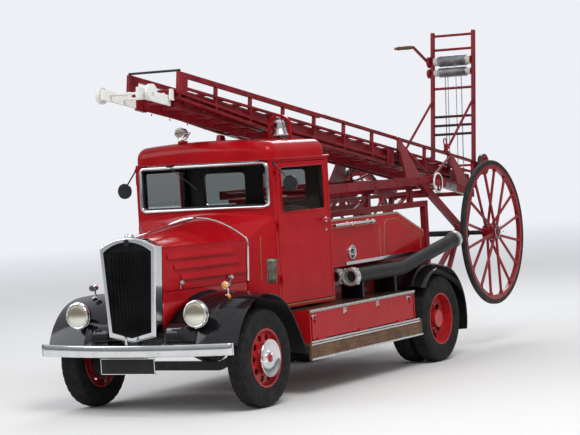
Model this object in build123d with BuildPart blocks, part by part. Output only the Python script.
from build123d import *
import os
from math import atan, atan2, cos, hypot, radians, sin, tan

# Fire engine carrying a wheeled escape ladder. Millimetres.
# +X is forward, +Y is the vehicle's left, +Z is up.
# The origin is on the ground, half way along the overall length.

# General clearances and sheet sizes
GAP = 6.0              # running gap between a panel that opens and its frame
PIN_GAP = 0.3          # radial gap at pins and shafts
SEAT_GAP = 0.3         # gap at a soft or curved seat
SKIN = 12.0            # body panel with its framing
TUBE_R = 14.0          # handrail and stay tube

# Road wheels and axles
TYRE_R = 432.0
TYRE_W = 190.0
RIM_R = 258.0
WHEELBASE = 3530.0
FRONT_AXLE_X = 2711.0
REAR_AXLE_X = FRONT_AXLE_X - WHEELBASE
AXLE_Z = TYRE_R
FRONT_TYRE_Y = 872.0   # centre of a front tyre
TWIN_OUTER_Y = 868.0   # centre of the outer rear tyre
TWIN_SPACING = 222.0
TWIN_INNER_Y = TWIN_OUTER_Y - TWIN_SPACING
RIM_W = 150.0
SPINDLE_R = 28.0
KINGPIN_Y = 700.0
KINGPIN_R = 16.0
HUB_R = 86.0
NAVE_R = 118.0
WHEEL_HOLES = 10
WHEEL_HOLE_R = 30.0
DRUM_R = 178.0

# Chassis frame
RAIL_Y = 400.0         # centre of a side rail
RAIL_W = 60.0
RAIL_H = 150.0
RAIL_TOP = 750.0
RAIL_WALL = 9.0
FRAME_FRONT_X = FRONT_AXLE_X + 600.0
FRAME_REAR_X = FRONT_AXLE_X - 4900.0
CROSS_R = 32.0
CROSS_HALF = RAIL_Y + RAIL_W / 2 - RAIL_WALL / 2
CROSS_XS = (FRONT_AXLE_X + 520, FRONT_AXLE_X - 1080, FRONT_AXLE_X - 1900,
            FRONT_AXLE_X - 2800, FRONT_AXLE_X - 4250,
            FRAME_REAR_X + 60)

# Bumper
BUMPER_HALF = 990.0
BUMPER_FRONT_X = FRONT_AXLE_X + 800.0
BUMPER_END_X = FRONT_AXLE_X + 630.0
BUMPER_Z = 578.0
BUMPER_H = 104.0
BUMPER_T = 14.0

# Radiator
RAD_FRONT_X = FRONT_AXLE_X + 666.0
RAD_DEPTH = 110.0
RAD_TOP_HALF = 290.0
RAD_FOOT_HALF = 243.0
RAD_SHOULDER_Z = 1470.0
RAD_CROWN_Z = 1556.0
RAD_FOOT_Z = 690.0
RAD_POINT_Z = 640.0
RAD_RIM = 40.0

# Bonnet
BONNET_FRONT_X = RAD_FRONT_X - RAD_DEPTH - GAP
BONNET_REAR_X = FRONT_AXLE_X - 470.0
SHOULDER_Z = 1452.0
BONNET_FRONT_HALF = 284.0
BONNET_REAR_HALF = 535.0
BONNET_FRONT_CROWN = 1546.0
BONNET_REAR_CROWN = 1656.0
BONNET_FOOT_Z = 1072.0
BONNET_SHEET = 8.0

# Cab
SCREEN_X = FRONT_AXLE_X - 655.0
CAB_REAR_X = FRONT_AXLE_X - 1600.0
CAB_FRONT_HALF = 735.0
CAB_REAR_HALF = 792.0
CAB_SILL_Z = 842.0
CAB_FLOOR_Z = 862.0
WAIST_Z = 1664.0
SCREEN_FOOT_Z = 1719.0
SCREEN_HEAD_Z = 2158.0
SCREEN_HALF = 690.0
GUTTER_Z = 2150.0
ROOF_Z = 2318.0
ROOF_SHEET = 14.0
DOOR_FRONT_X = FRONT_AXLE_X - 700.0
DOOR_REAR_X = FRONT_AXLE_X - 1560.0
DOOR_T = 42.0
DOOR_HEAD_Z = 2118.0
WINDOW_FRONT_X = FRONT_AXLE_X - 782.0
WINDOW_REAR_X = FRONT_AXLE_X - 1500.0
WINDOW_HEAD_Z = 2080.0

# Body behind the cab
TUB_FRONT_X = CAB_REAR_X - 20.0
TUB_REAR_X = FRONT_AXLE_X - 3675.0
TUB_HALF = 728.0
TUB_RAIL_Z = 1530.0
TUB_BREAK_X = FRONT_AXLE_X - 3105.0
TUB_TAIL_Z = 1312.0
MOULDING_Z = 1114.0
TUB_LOWER_HALF = 600.0
TUB_FLOOR_Z = 1120.0

# Side lockers and steps
LOCKER_Y = 986.0
LOCKER_FRONT_X = FRONT_AXLE_X - 735.0
LOCKER_REAR_X = REAR_AXLE_X + 670.0
LOCKER_TOP_Z = 778.0
LOCKER_FOOT_Z = 480.0
LOCKER_INNER_Y = 610.0
STEP_REAR_X = REAR_AXLE_X + 530.0
STEP_FOOT_Z = 323.0

# Wings
WING_R = 596.0
WING_OUTER_Y = 985.0
WING_INNER_Y = 250.0
WING_T = 7.0
WING_LIP = 34.0
REAR_WING_R = 566.0
REAR_WING_INNER_Y = TUB_LOWER_HALF + SEAT_GAP

# Lamps
HEADLAMP_R = 117.0
HEADLAMP_Y = 614.0
HEADLAMP_Z = 876.0
HEADLAMP_X = FRONT_AXLE_X + 600.0
SIDELAMP_R = 34.0
SIDELAMP_X = FRONT_AXLE_X + 100.0
SIDELAMP_Y = 740.0

# Suction hoses
HOSE_R = 68.0
HOSE_Y = 868.0
HOSE_INNER_Y = 700.0
HOSE_Z = 998.0
HOSE_FRONT_X = FRONT_AXLE_X - 1830.0
HOSE_RISE_X = REAR_AXLE_X + 680.0
HOSE_TAIL_X = REAR_AXLE_X - 530.0
HOSE_TAIL_Z = 1195.0
COUPLING_R = 86.0
COUPLING_L = 60.0

# Escape axle and wheels
ESCAPE_AXLE_X = FRONT_AXLE_X - 5190.0
ESCAPE_AXLE_Z = 1208.0
ESCAPE_WHEEL_R = 776.0
ESCAPE_WHEEL_Y = 812.0
ESCAPE_TYRE_W = 50.0
ESCAPE_TYRE_H = 48.0
FELLOE_H = 46.0
SPOKES = 16
SPOKE_R = 15.0
ESCAPE_HUB_R = 78.0
ESCAPE_HUB_L = 190.0
ESCAPE_AXLE_R = 30.0
AXLE_STEP = 6.0

# Ladder set, in the plane of its side: s runs from heel to head, n is square to it
LADDER_SLOPE = 0.165
INCLINE = atan(LADDER_SLOPE)
HEEL_X = FRONT_AXLE_X - 6000.0
HEEL_Z = 1664.0
MAIN_Y = 262.0
MAIN_STRING_W = 34.0
MAIN_LENGTH = 6210.0
MAIN_STRING_H = 75.0
MAIN_HEAD_RISE = 60.0
MAIN_BEND_S = MAIN_LENGTH - 1560.0
MAIN_TOP_N = 292.0
MAIN_TOP_H = 34.0
MIDDLE_Y = 220.0
MIDDLE_STRING_W = 28.0
MIDDLE_START = 110.0
MIDDLE_END = MAIN_LENGTH + 50.0
TOP_Y = 182.0
TOP_STRING_W = 26.0
TOP_START = 190.0
TOP_END = MAIN_LENGTH + 515.0
RUNG_PITCH = 305.0

# Levers at the heel of the escape
LEVER_Y = 253.0
LEVER_FOOT_X = FRONT_AXLE_X - 6008.0
LEVER_FOOT_Z = 1900.0
LEVER_HEAD_X = FRONT_AXLE_X - 6200.0
LEVER_HEAD_Z = 3450.0
LEVER_W = 44.0

# Carriage of the escape
BEAM_Y = 475.0
BEAM_Z = 1822.0
BEAM_H = 84.0
BEAM_W = 60.0
BEAM_FRONT_X = FRONT_AXLE_X - 1750.0
BEAM_BEND_X = FRONT_AXLE_X - 4450.0
BEAM_REAR_X = FRONT_AXLE_X - 5440.0
BEAM_REAR_Z = 1630.0
POST_FRONT_X = FRONT_AXLE_X - 4060.0
POST_REAR_X = FRONT_AXLE_X - 5300.0

ESCAPE_SIDE = Plane(origin=(HEEL_X, 0, HEEL_Z), x_dir=(cos(INCLINE), 0, sin(INCLINE)), z_dir=(0, -1, 0))
SIDE = Plane.XZ        # sketch x is the vehicle's X, sketch y is height, extrusions go towards -Y

PIECES = {}


def keep(name, piece):
    """Label a finished piece and put it on the list that is written at the end."""
    piece.label = name
    PIECES[name] = piece


def mirrored(piece):
    """The same piece on the vehicle's right side."""
    with BuildPart() as other:
        mirror(piece, about=Plane.XZ)
    return other.part


def rod(start, end, radius):
    """A round bar between two points, joined to the part under construction."""
    run = Vector(*end) - Vector(*start)
    with BuildSketch(Plane(origin=start, z_dir=run)) as section:
        Circle(radius)
    extrude(section.sketch, amount=run.length)


def bar(start, end, width, depth):
    """A rectangular bar between two points in a plane of constant y; width is across y."""
    run = Vector(*end) - Vector(*start)
    with BuildSketch(Plane(origin=start, x_dir=(0, 1, 0), z_dir=run)) as section:
        Rectangle(width, depth)
    extrude(section.sketch, amount=run.length)


def plate_at(y, thickness, *points):
    """A flat plate in a plane of constant y, centred on it, from its outline in x and z."""
    with BuildSketch(SIDE.offset(-y)) as outline:
        with BuildLine():
            Polyline(*points, close=True)
        make_face()
    extrude(outline.sketch, amount=thickness / 2, both=True)


# Chassis frame: two channel side rails, tubular crossmembers and a rear cross beam
with BuildPart() as chassis_frame:
    for side in (1, -1):
        with BuildSketch(Plane.YZ.offset(FRAME_REAR_X)):
            with Locations((side * RAIL_Y, RAIL_TOP - RAIL_H / 2)):
                Rectangle(RAIL_W, RAIL_H)
            with Locations((side * (RAIL_Y - RAIL_WALL), RAIL_TOP - RAIL_H / 2)):
                Rectangle(RAIL_W, RAIL_H - 2 * RAIL_WALL, mode=Mode.SUBTRACT)
        extrude(amount=FRAME_FRONT_X - FRAME_REAR_X)
    for cross_x in CROSS_XS:
        cross_z = RAIL_TOP - RAIL_H / 2
        rod((cross_x, -CROSS_HALF, cross_z), (cross_x, CROSS_HALF, cross_z), CROSS_R)
keep("chassis_frame", chassis_frame.part)

# Engine and gearbox, closed under the bonnet, as one plain mass between the rails
ENGINE_FRONT_X = RAD_FRONT_X - RAD_DEPTH - 84
ENGINE_REAR_X = FRONT_AXLE_X - 420
ENGINE_HALF = 235.0
ENGINE_FOOT_Z = 560.0
ENGINE_TOP_Z = 1330.0
GEARBOX_R = 105.0
GEARBOX_Z = 610.0
GEARBOX_REAR_X = ENGINE_REAR_X - 560
with BuildPart() as engine_block:
    with BuildSketch(Plane.XY.offset(ENGINE_FOOT_Z)):
        with Locations(((ENGINE_FRONT_X + ENGINE_REAR_X) / 2, 0)):
            Rectangle(ENGINE_FRONT_X - ENGINE_REAR_X, 2 * ENGINE_HALF)
    extrude(amount=ENGINE_TOP_Z - ENGINE_FOOT_Z)
    chamfer(engine_block.edges().filter_by(Axis.X), length=70)
    rod((ENGINE_REAR_X + 20, 0, GEARBOX_Z), (GEARBOX_REAR_X, 0, GEARBOX_Z), GEARBOX_R)
    for side in (1, -1):
        with BuildSketch(Plane.XY.offset(RAIL_TOP + SEAT_GAP)):
            with Locations((FRONT_AXLE_X - 60, side * (ENGINE_HALF + RAIL_Y) / 2)):
                Rectangle(90, RAIL_Y - ENGINE_HALF + 20)
        extrude(amount=26)
keep("engine_block", engine_block.part)

# Front axle: dropped beam with an eye for each kingpin
BEAM_AXLE_Z = 378.0
EYE_H = 92.0
EYE_R = 34.0
with BuildPart() as front_axle:
    with BuildSketch(Plane.YZ.offset(FRONT_AXLE_X)):
        with BuildLine():
            Polyline((-KINGPIN_Y, AXLE_Z - EYE_H / 2), (-KINGPIN_Y + 90, AXLE_Z - EYE_H / 2),
                     (-RAIL_Y - 70, BEAM_AXLE_Z - 52), (RAIL_Y + 70, BEAM_AXLE_Z - 52),
                     (KINGPIN_Y - 90, AXLE_Z - EYE_H / 2), (KINGPIN_Y, AXLE_Z - EYE_H / 2),
                     (KINGPIN_Y, AXLE_Z + EYE_H / 2), (KINGPIN_Y - 60, AXLE_Z + EYE_H / 2),
                     (RAIL_Y + 70, BEAM_AXLE_Z + 26), (-RAIL_Y - 70, BEAM_AXLE_Z + 26),
                     (-KINGPIN_Y + 60, AXLE_Z + EYE_H / 2), (-KINGPIN_Y, AXLE_Z + EYE_H / 2), close=True)
        make_face()
    extrude(amount=30, both=True)
    for side in (1, -1):
        with BuildSketch(Plane.XY.offset(AXLE_Z - EYE_H / 2)):
            with Locations((FRONT_AXLE_X, side * KINGPIN_Y)):
                Circle(EYE_R)
        extrude(amount=EYE_H)
        with BuildSketch(Plane.XY.offset(AXLE_Z - EYE_H)):
            with Locations((FRONT_AXLE_X, side * KINGPIN_Y)):
                Circle(KINGPIN_R + PIN_GAP)
        extrude(amount=2 * EYE_H, mode=Mode.SUBTRACT)
keep("front_axle", front_axle.part)

# Rear axle: casing, differential housing and a spindle through each pair of twin wheels
AXLE_TUBE_R = 52.0
with BuildPart() as rear_axle:
    rod((REAR_AXLE_X, -TWIN_INNER_Y + 150, AXLE_Z), (REAR_AXLE_X, TWIN_INNER_Y - 150, AXLE_Z), AXLE_TUBE_R)
    with Locations((REAR_AXLE_X, 0, AXLE_Z)):
        Sphere(165)
    rod((REAR_AXLE_X, 0, AXLE_Z), (REAR_AXLE_X + 230, 0, AXLE_Z + 20), 70)
    rod((REAR_AXLE_X, -TWIN_OUTER_Y, AXLE_Z), (REAR_AXLE_X, TWIN_OUTER_Y, AXLE_Z), SPINDLE_R)
    rod((REAR_AXLE_X + 220, 0, AXLE_Z + 20), (GEARBOX_REAR_X - 3, 0, GEARBOX_Z), 34)
keep("rear_axle", rear_axle.part)

# Road springs: leaf packs under the rails with their shackles
SPRING_W = 56.0
SPRING_T = 46.0
springs = [
    # axle x, half length, height of the seat on the axle
    (FRONT_AXLE_X, 520.0, BEAM_AXLE_Z + 26.0),
    (REAR_AXLE_X, 640.0, AXLE_Z + AXLE_TUBE_R),
]
with BuildPart() as road_springs:
    for axle_x, half, seat_z in springs:
        for side in (1, -1):
            with BuildSketch(SIDE.offset(-side * RAIL_Y)):
                with BuildLine():
                    Polyline((axle_x - half, RAIL_TOP - RAIL_H - 36), (axle_x - 90, seat_z + SEAT_GAP),
                             (axle_x + 90, seat_z + SEAT_GAP), (axle_x + half, RAIL_TOP - RAIL_H - 36),
                             (axle_x + half, RAIL_TOP - RAIL_H - 22), (axle_x + 60, seat_z + SPRING_T),
                             (axle_x - 60, seat_z + SPRING_T), (axle_x - half, RAIL_TOP - RAIL_H - 22),
                             close=True)
                make_face()
            extrude(amount=SPRING_W / 2, both=True)
            for end in (-1, 1):
                with BuildSketch(SIDE.offset(-side * RAIL_Y)):
                    with Locations((axle_x + end * half, RAIL_TOP - RAIL_H - 23 - SEAT_GAP)):
                        Rectangle(44, 46)
                extrude(amount=SPRING_W / 2, both=True)
keep("road_springs", road_springs.part)

# Front bumper: bowed spring bar on two irons from the frame
BUMPER_BOW = BUMPER_FRONT_X - BUMPER_END_X
with BuildPart() as bumper:
    with BuildSketch(Plane.XY.offset(BUMPER_Z - BUMPER_H / 2)):
        with BuildLine():
            ThreePointArc((BUMPER_END_X, -BUMPER_HALF), (BUMPER_FRONT_X, 0), (BUMPER_END_X, BUMPER_HALF))
            Line((BUMPER_END_X, BUMPER_HALF), (BUMPER_END_X - BUMPER_T, BUMPER_HALF))
            ThreePointArc((BUMPER_END_X - BUMPER_T, BUMPER_HALF), (BUMPER_FRONT_X - BUMPER_T, 0),
                          (BUMPER_END_X - BUMPER_T, -BUMPER_HALF))
            Line((BUMPER_END_X - BUMPER_T, -BUMPER_HALF), (BUMPER_END_X, -BUMPER_HALF))
        make_face()
    extrude(amount=BUMPER_H)
    for side in (1, -1):
        iron_x = BUMPER_FRONT_X - BUMPER_BOW * (RAIL_Y / BUMPER_HALF) ** 2 - BUMPER_T / 2
        with BuildSketch(Plane.XY.offset(RAIL_TOP - RAIL_H + RAIL_WALL + SEAT_GAP)):
            with Locations(((FRAME_FRONT_X - 90 + iron_x) / 2, side * (RAIL_Y - RAIL_W / 2 + 6))):
                Rectangle(iron_x - FRAME_FRONT_X + 90, 12)
        extrude(amount=26)
keep("bumper", bumper.part)

# Radiator: plated shell with an arched crown and a pointed foot, and the slatted core inside it


def radiator_outline(inset):
    """Outline of the radiator seen from the front, drawn inside by the inset."""
    top = RAD_TOP_HALF - inset
    foot = RAD_FOOT_HALF - inset
    with BuildLine() as outline:
        Polyline((-top, RAD_SHOULDER_Z - inset), (-foot, RAD_FOOT_Z + inset), (0, RAD_POINT_Z + inset),
                 (foot, RAD_FOOT_Z + inset), (top, RAD_SHOULDER_Z - inset))
        ThreePointArc((top, RAD_SHOULDER_Z - inset), (0, RAD_CROWN_Z - inset), (-top, RAD_SHOULDER_Z - inset))
    make_face(outline.edges())


with BuildPart() as radiator_shell:
    with BuildSketch(Plane.YZ.offset(RAD_FRONT_X - RAD_DEPTH)):
        radiator_outline(0)
    extrude(amount=RAD_DEPTH)
    fillet(radiator_shell.faces().sort_by(Axis.X)[-1].edges(), radius=16)
    with BuildSketch(Plane.YZ.offset(RAD_FRONT_X - RAD_DEPTH)):
        radiator_outline(RAD_RIM)
    extrude(amount=RAD_DEPTH, mode=Mode.SUBTRACT)
    filler_x = RAD_FRONT_X - RAD_DEPTH / 2
    rod((filler_x, 0, RAD_CROWN_Z - 12), (filler_x, 0, RAD_CROWN_Z + 22), 34)
keep("radiator_shell", radiator_shell.part)

CORE_FRONT_X = RAD_FRONT_X - 24
CORE_DEPTH = 60.0
SLAT_PITCH = 36.0
with BuildPart() as radiator_core:
    with BuildSketch(Plane.YZ.offset(CORE_FRONT_X - CORE_DEPTH)):
        radiator_outline(RAD_RIM + SEAT_GAP)
    extrude(amount=CORE_DEPTH)
    with BuildSketch(Plane.YZ.offset(CORE_FRONT_X)):
        with GridLocations(SLAT_PITCH, 1, 11, 1):
            with Locations((0, (RAD_FOOT_Z + RAD_SHOULDER_Z) / 2)):
                Rectangle(SLAT_PITCH / 2, RAD_SHOULDER_Z - RAD_FOOT_Z - 2 * RAD_RIM)
    extrude(amount=-10, mode=Mode.SUBTRACT)
keep("radiator_core", radiator_core.part)

# Starting handle hanging in its bracket below the radiator
with BuildPart() as starting_handle:
    rod((FRONT_AXLE_X + 506, 0, 598), (BUMPER_FRONT_X - 40, 0, 598), 13)
    rod((BUMPER_FRONT_X - 42, 0, 598), (BUMPER_FRONT_X - 42, 0, 700), 12)
    rod((BUMPER_FRONT_X - 54, 0, 700), (BUMPER_FRONT_X - 4, 0, 700), 14)
    with BuildSketch(SIDE):
        with Locations((FRONT_AXLE_X + 520, 617.7)):
            Rectangle(30, 50)
    extrude(amount=26, both=True)
keep("starting_handle", starting_handle.part)


def wing_section(radius, inner_y, outer_y, thickness):
    """Crowned section of a wing: x of the sketch is across the vehicle, y is away from the hub."""
    middle = (inner_y + outer_y) / 2
    low = radius - WING_LIP
    with BuildLine() as outline:
        ThreePointArc((inner_y, low), (middle, radius), (outer_y, low))
        Line((outer_y, low), (outer_y - thickness, low - thickness))
        ThreePointArc((outer_y - thickness, low - thickness), (middle, radius - thickness),
                      (inner_y + thickness, low - thickness))
        Line((inner_y + thickness, low - thickness), (inner_y, low))
    make_face(outline.edges())


def turned(angle, axle_x):
    """Plane through a wheel centre: its x is the vehicle's Y, its y points away from the hub at the angle."""
    return Plane(origin=(axle_x, 0, AXLE_Z), x_dir=(0, 1, 0),
                 z_dir=(sin(radians(angle)), 0, -cos(radians(angle))))


def scuttle_form(grow, front_x, rear_x, foot_z):
    """Form of the scuttle between two stations and above a foot height, grown on its sides and top."""
    low = foot_z - SCUTTLE_TRIM
    with BuildPart() as form:
        with BuildSketch(Plane.YZ.offset(front_x)) as front:
            with BuildLine():
                half = BONNET_REAR_HALF + grow
                Polyline((-half, SHOULDER_Z), (-half + SCUTTLE_LEAN, low), (half - SCUTTLE_LEAN, low),
                         (half, SHOULDER_Z))
                ThreePointArc((half, SHOULDER_Z), (0, BONNET_REAR_CROWN + grow), (-half, SHOULDER_Z))
            make_face()
        with BuildSketch(Plane.YZ.offset(rear_x)) as rear:
            with BuildLine():
                half = CAB_FRONT_HALF + grow
                Polyline((-half, SCUTTLE_REAR_Z), (-half, low), (half, low), (half, SCUTTLE_REAR_Z))
                ThreePointArc((half, SCUTTLE_REAR_Z), (0, SCREEN_FOOT_Z - 8 + grow), (-half, SCUTTLE_REAR_Z))
            make_face()
        loft([front.sketch.faces()[0], rear.sketch.faces()[0]], ruled=True)
        split(bisect_by=Plane.XY.offset(foot_z), keep=Keep.TOP)
    return form.part


SCUTTLE_TRIM = 60.0
SCUTTLE_LAP = 6.0
SCUTTLE_LEAN = 23.0
SCUTTLE_FOOT_Z = 800.0
SCUTTLE_REAR_Z = 1640.0
SCUTTLE_FRONT_X = BONNET_REAR_X - GAP
LEDGE_DROP = 92.0

# Hinge line of a bonnet side, along the shoulder, and the plane of the panel below it
HINGE_FRONT = Vector(BONNET_FRONT_X, BONNET_FRONT_HALF, SHOULDER_Z)
HINGE_REAR = Vector(BONNET_REAR_X, BONNET_REAR_HALF, SHOULDER_Z)
HINGE_RUN = HINGE_REAR - HINGE_FRONT
PANEL_DROP = Vector(0, -SCUTTLE_LEAN, BONNET_FOOT_Z - SHOULDER_Z)
PANEL_NORMAL = PANEL_DROP.cross(HINGE_RUN).normalized()
BONNET_SIDE = Plane(origin=HINGE_FRONT, x_dir=HINGE_RUN, z_dir=PANEL_NORMAL)
PANEL_H = PANEL_DROP.length

# Front wings: crowned arch round each wheel, a straight tail down to the step,
# and the ledge that the bonnet side shuts on
WING_FRONT_ANGLE = 18.0
WING_TAIL_ANGLE = 148.0
WING_TAIL_X = LOCKER_FRONT_X + 20.0
RAIL_CLEAR = 24.0
with BuildPart() as wing_left:
    with BuildSketch(turned(WING_FRONT_ANGLE, FRONT_AXLE_X)) as wing_mouth:
        wing_section(WING_R, WING_INNER_Y, WING_OUTER_Y, WING_T)
    revolve(wing_mouth.sketch, axis=Axis((FRONT_AXLE_X, 0, AXLE_Z), (0, -1, 0)),
            revolution_arc=WING_TAIL_ANGLE - WING_FRONT_ANGLE)
    tail_start = Vector(FRONT_AXLE_X + WING_R * cos(radians(WING_TAIL_ANGLE)),
                        (WING_INNER_Y + WING_OUTER_Y) / 2,
                        AXLE_Z + WING_R * sin(radians(WING_TAIL_ANGLE)))
    extrude(wing_left.faces().sort_by_distance(tail_start).filter_by(GeomType.PLANE)[0],
            amount=(tail_start.X - WING_TAIL_X) / sin(radians(WING_TAIL_ANGLE)))
    with BuildSketch(BONNET_SIDE.offset(-BONNET_SHEET)):
        with Locations((HINGE_RUN.length / 2, -PANEL_H - GAP - LEDGE_DROP / 2)):
            Rectangle(HINGE_RUN.length - 2 * GAP, LEDGE_DROP)
    extrude(amount=BONNET_SHEET)
    with BuildSketch(Plane.XY.offset(RAIL_TOP - RAIL_H - 80)):
        with Locations((FRONT_AXLE_X, 0)):
            Rectangle(3 * WING_R, 2 * (RAIL_Y + RAIL_W / 2 + RAIL_CLEAR))
    extrude(amount=RAIL_H + 80 + RAIL_CLEAR, mode=Mode.SUBTRACT)
    add(scuttle_form(SEAT_GAP, SCUTTLE_FRONT_X, SCREEN_X, SCUTTLE_FOOT_Z), mode=Mode.SUBTRACT)
with BuildPart() as front_wings:
    add(wing_left.part)
    mirror(wing_left.part, about=Plane.XZ)
keep("front_wings", front_wings.part)

# Rear wings: deeper arches over the twin wheels
REAR_WING_FRONT_ANGLE = 40.0
REAR_WING_TAIL_ANGLE = 197.0
with BuildPart() as rear_wing_left:
    with BuildSketch(turned(REAR_WING_FRONT_ANGLE, REAR_AXLE_X)) as rear_mouth:
        wing_section(REAR_WING_R, REAR_WING_INNER_Y, WING_OUTER_Y, WING_T)
    revolve(rear_mouth.sketch, axis=Axis((REAR_AXLE_X, 0, AXLE_Z), (0, -1, 0)),
            revolution_arc=REAR_WING_TAIL_ANGLE - REAR_WING_FRONT_ANGLE)
with BuildPart() as rear_wings:
    add(rear_wing_left.part)
    mirror(rear_wing_left.part, about=Plane.XZ)
keep("rear_wings", rear_wings.part)

# Bonnet top: one crowned sheet from the radiator to the scuttle


def bonnet_section(x, half, crown, inset):
    """Crowned section of the bonnet top at one station, above the hinge lines."""
    with BuildSketch(Plane.YZ.offset(x)) as section:
        with BuildLine():
            ThreePointArc((-half + inset, SHOULDER_Z - inset), (0, crown - inset),
                          (half - inset, SHOULDER_Z - inset))
            Line((half - inset, SHOULDER_Z - inset), (-half + inset, SHOULDER_Z - inset))
        make_face()
    return section.sketch.faces()[0]


BONNET_SEAT_FRONT_X = BONNET_FRONT_X + GAP - SEAT_GAP
BONNET_SEAT_REAR_X = BONNET_REAR_X - GAP + SEAT_GAP
KNUCKLE_R = 5.5
KNUCKLE_PITCH = 145.0
KNUCKLE_COUNT = 7


def hinge_knuckles(first, leaf_drop, grow):
    """Every other knuckle on the hinge line of the left bonnet side; a leaf drop gives them leaves."""
    for index in range(first, KNUCKLE_COUNT, 2):
        begin = 14.0 + index * KNUCKLE_PITCH + PIN_GAP - grow
        length = KNUCKLE_PITCH - 2 * PIN_GAP + 2 * grow
        foot = BONNET_SIDE.from_local_coords(Vector(begin, 0, 0))
        with BuildSketch(Plane(origin=foot, x_dir=PANEL_NORMAL, z_dir=HINGE_RUN)) as knuckle:
            Circle(KNUCKLE_R + grow)
        extrude(knuckle.sketch, amount=length)
        if leaf_drop:
            with BuildSketch(BONNET_SIDE) as leaf:
                with Locations((begin + length / 2, -leaf_drop / 2)):
                    Rectangle(length, leaf_drop)
            extrude(leaf.sketch, amount=-4)


with BuildPart() as bonnet_top:
    loft([bonnet_section(BONNET_SEAT_FRONT_X, BONNET_FRONT_HALF, BONNET_FRONT_CROWN, 0),
          bonnet_section(BONNET_SEAT_REAR_X, BONNET_REAR_HALF, BONNET_REAR_CROWN, 0)], ruled=True)
    loft([bonnet_section(BONNET_SEAT_FRONT_X, BONNET_FRONT_HALF, BONNET_FRONT_CROWN, BONNET_SHEET),
          bonnet_section(BONNET_SEAT_REAR_X, BONNET_REAR_HALF, BONNET_REAR_CROWN, BONNET_SHEET)], ruled=True,
         mode=Mode.SUBTRACT)
with BuildPart() as top_knuckles:
    hinge_knuckles(0, 0, 0)
with BuildPart() as knuckle_room:
    hinge_knuckles(1, 0, 2 * PIN_GAP)
with BuildPart() as hinged_top:
    add(bonnet_top.part)
    add(knuckle_room.part, mode=Mode.SUBTRACT)
    mirror(knuckle_room.part, about=Plane.XZ, mode=Mode.SUBTRACT)
    add(top_knuckles.part)
    mirror(top_knuckles.part, about=Plane.XZ)
keep("bonnet_top", hinged_top.part)

# Bonnet sides: flat panels with three long stepped louvres each, hinged along the shoulder
louvres = [
    # start along the panel, length, distance of its top edge below the hinge
    (60.0, 800.0, 46.0),
    (140.0, 800.0, 140.0),
    (220.0, 800.0, 234.0),
]
LOUVRE_H = 62.0
LOUVRE_OUT = 17.0
with BuildPart() as bonnet_side_left:
    with BuildSketch(BONNET_SIDE):
        with Locations((HINGE_RUN.length / 2, -(PANEL_H + GAP) / 2)):
            Rectangle(HINGE_RUN.length - 2 * GAP, PANEL_H - GAP)
    extrude(amount=-BONNET_SHEET)
    for start, length, drop in louvres:
        foot = BONNET_SIDE.from_local_coords(Vector(start, -drop, 0))
        with BuildSketch(Plane(origin=foot, x_dir=PANEL_NORMAL, z_dir=HINGE_RUN)):
            with BuildLine():
                Polyline((-BONNET_SHEET / 2, 0), (LOUVRE_OUT, LOUVRE_H - 16), (LOUVRE_OUT, LOUVRE_H),
                         (-BONNET_SHEET / 2, LOUVRE_H), close=True)
            make_face()
        extrude(amount=length)
    hinge_knuckles(1, GAP + 20, 0)
keep("bonnet_side_left", bonnet_side_left.part)
keep("bonnet_side_right", mirrored(bonnet_side_left.part))

# Cab shell: scuttle, windscreen frame, door frames and rear wall round one open space
CAB_SIDE = Plane(origin=(SCREEN_X, CAB_FRONT_HALF, 0),
                 x_dir=(CAB_REAR_X - SCREEN_X, CAB_REAR_HALF - CAB_FRONT_HALF, 0),
                 z_dir=(CAB_REAR_HALF - CAB_FRONT_HALF, SCREEN_X - CAB_REAR_X, 0))
SIDE_LENGTH = hypot(CAB_REAR_X - SCREEN_X, CAB_REAR_HALF - CAB_FRONT_HALF)
DOOR_START = SCREEN_X - DOOR_FRONT_X
DOOR_END = SCREEN_X - DOOR_REAR_X
DOOR_HINGE_OUT = 16.0
HINGE_R = 10.0
HINGE_H = 90.0
HINGE_LEAF = 78.0
HINGE_ZS = (1060.0, 1550.0, 2030.0)
DOOR_HINGE = CAB_SIDE.from_local_coords(Vector(DOOR_START - 4, 0, DOOR_HINGE_OUT))
REAR_WALL = 34.0
FRAME_T = 42.0
REAR_WINDOW_W = 460.0
REAR_WINDOW_H = 300.0
REAR_WINDOW_Y = 330.0
REAR_WINDOW_Z = 1890.0
DASH_HALF = 640.0
DASH_FOOT_Z = 1470.0
DASH_T = 38.0
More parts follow.
